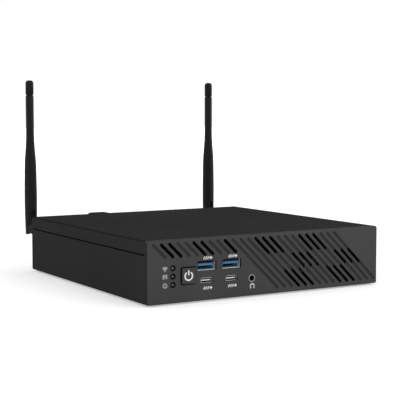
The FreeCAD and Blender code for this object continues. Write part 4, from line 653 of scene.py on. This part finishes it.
dress(layered("power_inlet", BRIGHT_METAL, EPOXY,
              lambda x, y, z: ((x - inlet) ** 2.0 + (z - inlet_level) ** 2.0).step(*PIN_EDGE_SQUARED)),
      "dc_jack")

REAR = MOUTH - FACE
SHELL_SETBACK = 0.65
DECKS = (BOARD_TOP + 3.7, BOARD_TOP + 11.9)
VIDEO_ROWS, VIDEO_ENDS = ((10, 3.52), (9, 4.48)), (REAR - 8.9, REAR - 1.3)
NETWORK_START, NETWORK_PITCH, NETWORK_ENDS, NETWORK_RISE = -3.65, 1.02, (REAR - 12.0, REAR - 3.4), 10.87

contacts = []
for number in (1, 2):
    for z in DECKS:
        contacts += tongue_contacts(middle_of(f"rear_usb_shell_{number}"), z, REAR - SHELL_SETBACK, -1)
    x = middle_of(f"video_port_{number}")
    for count, rise in VIDEO_ROWS:
        row = x + (np.arange(count) - (count - 1) / 2)
        contacts += strips(row, width=0.5, ends=VIDEO_ENDS, level=BOARD_TOP + rise, thick=0.1)
contacts += strips(network + NETWORK_START + np.arange(8) * NETWORK_PITCH, width=0.5, ends=NETWORK_ENDS,
                   level=BOARD_TOP + NETWORK_RISE, thick=0.1)
grids("rear_contacts", contacts, gold, "case")

SPRING_OUT, SPRING_DROP, SPRING_ENDS = 3.1, 2.36, (REAR - 6.5, REAR - 0.8)
springs = []
for number in (1, 2):
    for z in DECKS:
        for side in (-SPRING_OUT, SPRING_OUT):
            place = middle_of(f"rear_usb_shell_{number}") + side
            springs += strips([place], width=1.9, ends=SPRING_ENDS, level=z - SPRING_DROP, thick=0.3,
                              rounding=0.14)
grids("rear_springs", springs, nickel, "case", True)

LENS_OUT, LENS_RISE, LENS_ENDS = 6.1, 1.5, (REAR - 1.5, REAR + 0.06)
for name, side, colour in (("link_light", -1, linear(96, 186, 92)),
                           ("traffic_light", 1, linear(214, 158, 62))):
    lens = strips([network + side * LENS_OUT], width=2.6, ends=LENS_ENDS, level=BOARD_TOP + LENS_RISE,
                  thick=1.5, rounding=0.2)
    tint = finish(f"{name}_plastic", colour, roughness=0.2, drift=0.1, scale=400.0, Specular_IOR_Level=0.4)
    grids(name, lens, tint, "case", True)


# Lid screw and rear screws: turned and headed steel, zinc plated. The captive lid screw has a large head,
# knurled for the fingers.

KNURLS, KNURL_RISE, KNURL_SINK = 40, 0.13, 0.05
RING_DEPTHS = (-4.6, -4.6, -4.5, -4.1, -1.1, -0.75, -0.65, -0.65)
RING_OFFSETS = (-0.2, -0.2, -0.02, 0, 0, -0.02, -0.2, -0.2)
RING_KNURLED = (0, 0, 0, 1, 1, 0, 0, 0)

# The knurl is a ring turned about Y. Between its chamfers its radius gains KNURL_RISE |sin(KNURLS t / 2)| at
# the angle t, and both ends are shut at the axis, inside the head.
screw_low, screw_high = limits("lid_thumbscrew")
screw_x, screw_z = (screw_low[0] + screw_high[0]) / 2, (screw_low[2] + screw_high[2]) / 2
head_radius = (screw_high[0] - screw_low[0]) / 2
depth, offset, knurled = np.array([RING_DEPTHS, RING_OFFSETS, RING_KNURLED])[:, :, None]
turn = np.linspace(0, 2 * math.pi, KNURLS * 4, endpoint=False)
ridge = KNURL_RISE * np.abs(np.sin(turn * KNURLS / 2))
radius = head_radius - KNURL_SINK + (offset + knurled * ridge)
radius[[0, -1]] = 0
knurl = np.stack(np.broadcast_arrays(screw_x + radius * np.cos(turn), screw_high[1] + depth,
                                     screw_z + radius * np.sin(turn)), -1) / 1000
grids("thumbscrew_knurl", [knurl], zinc, "case", True)
dress(zinc, "lid_thumbscrew", "rear_panel_screws")


# Feet: four round pads, moulded in black rubber with a matt, slightly rough skin.
# They are glued to the floor of the tray.

rubber = finish("rubber", linear(27, 27, 27), roughness=0.8, scale=300.0, grain=0.4, Specular_IOR_Level=0.2)
dress(rubber, "feet")


# Mainboard: solder masked laminate that carries the low black sockets of the cards, with chips, coils and
# capacitors soldered to it. Hexagon standoffs lift it off the tray's floor, and pan head screws hold it, the
# cooler, the cards and the drive.

dress(layered("mainboard", SOLDER_MASK, EPOXY, lambda x, y, z: (z - BOARD_TOP).step(0.02, 0.05)), "mainboard")
dress(zinc, "board_standoffs", "inside_screws")


def packs(places, width, depth, height, r=0.35):
    """Grids of low parts on the mainboard at places given as (x, depth behind the bezel's face).

    A rounded outline opens from a point at the foot, narrows in the upper half and is shut at the top.
    """
    across, along = rounded(width, depth, r, [0, 0, 0, 0.1, 0.3, 0.3])
    size = np.array([0, 1, 1, 1, 1, 0])[:, None]
    up = np.array([0, 0, height * 0.5, height - 0.2, height, height])[:, None]
    return [np.stack(np.broadcast_arrays(x + size * across, FACE + y + size * along, BOARD_TOP + up),
                     -1) / 1000 for x, y in places]


def cans(places, radius, height):
    """Grids of capacitors at places given as (x, depth), each a profile turned about Z.

    The profile, in shares of radius and height, is a can with a groove above its base and a beaded top edge.
    """
    profile = np.array([(0, 0), (1, 0), (1, 0.14), (0.9, 0.2), (1, 0.26), (1, 0.95), (0.94, 1), (0, 1)])
    turn = np.linspace(0, 2 * math.pi, 28, endpoint=False)
    reach = profile[:, :1] * radius
    return [np.stack(np.broadcast_arrays(x + reach * np.cos(turn), FACE + y + reach * np.sin(turn),
                                         BOARD_TOP + profile[:, 1:] * height), -1) / 1000 for x, y in places]


CHIP_COLUMN = 3.5
CONTROLLER_DEPTH, NETWORK_CHIP_DEPTH, DRIVER_DEPTH, COIL_DEPTH = 34.0, 57.0, 75.0, 88.0
DRIVER_COLUMNS, COIL_COLUMNS = (-2.5, 3.5, 9.5), (-3.5, 3.8, 11.1)
CORE_COIL_COLUMN, CORE_COIL_PITCH = 67.0, 8.0
CAN_COLUMNS, CAN_DEPTHS = (-3.8, 10.8), (46.0, 66.0)

chips = packs([(CHIP_COLUMN, CONTROLLER_DEPTH)], width=12, depth=12, height=1.3)
chips += packs([(CHIP_COLUMN, NETWORK_CHIP_DEPTH)], width=9, depth=9, height=1.1)
chips += packs([(x, DRIVER_DEPTH) for x in DRIVER_COLUMNS], width=4, depth=5, height=1.0)
grids("board_chips", chips, black, "case", True)
core_depth = middle_of("processor", 1) - FACE
coil_places = [(x, COIL_DEPTH) for x in COIL_COLUMNS]
coil_places += [(CORE_COIL_COLUMN, core_depth + step * CORE_COIL_PITCH) for step in (-1, 0, 1)]
coils = packs(coil_places, width=6.4, depth=6.4, height=3.0, r=0.6)
coil_finish = finish("coil_body", linear(66, 67, 72), roughness=0.5, scale=400.0, grain=0.3)
grids("board_coils", coils, coil_finish, "case", True)
capacitors = cans([(x, y) for x in CAN_COLUMNS for y in CAN_DEPTHS], radius=2.5, height=4.4)
grids("board_capacitors", capacitors, zinc, "case", True)


# Cards and cell: two memory modules, a solid-state module and a wireless card, each a thin circuit board with
# black chips, plugged into the mainboard, and a coin cell in a steel can.

CARD_THICK = {"memory_module_1": 1.0, "memory_module_2": 1.0, "ssd_module": 0.8, "wireless_card": 0.8}
for name, thick in CARD_THICK.items():
    level = limits(name)[0][2] + thick
    dress(layered(f"{name}_finish", SOLDER_MASK, EPOXY, lambda x, y, z: (z - level).step(0.02, 0.05)), name)
dress(finish("cell_steel", linear(200, 200, 202), roughness=0.22, metallic=1.0, scale=150.0), "coin_cell")


# Processor and cooler: the processor under its metal cover, an aluminium cold plate, a copper heat pipe with
# a dark finish, the stack of fins at the rear, and the blower that drives air through it.

COVER_DROP = 0.15
cover_level = limits("processor_socket")[1][2] - COVER_DROP
dress(layered("processor_finish", SOLDER_MASK, BRIGHT_METAL,
              lambda x, y, z: (z - cover_level).step(0.0, 0.05)), "processor")
dress(zinc, "processor_socket", "fan_cover")
cast = finish("cast_aluminium", linear(120, 121, 124), roughness=0.45, metallic=1.0, scale=120.0, grain=0.3)
dress(cast, "cold_plate")
dress(finish("dark_copper", linear(96, 62, 46), roughness=0.35, metallic=1.0, scale=80.0), "heat_pipe")
dress(finish("aluminium", linear(196, 198, 202), roughness=0.35, metallic=1.0, scale=200.0), "heatsink_fins")
dress(black, "fan_housing", "fan_rotor")


# Drive: a 2.5 inch drive with a satin metal cover. It is screwed into a bracket that is folded from plated
# steel sheet.

satin = finish("drive_cover", linear(150, 152, 156), roughness=0.4, metallic=1.0, scale=40.0, grain=0.1,
               along=(1, 0.1, 1))
dress(satin, "drive")
plated = finish("bracket_steel", linear(160, 162, 164), roughness=0.35, metallic=1.0, scale=90.0)
dress(plated, "drive_bracket")
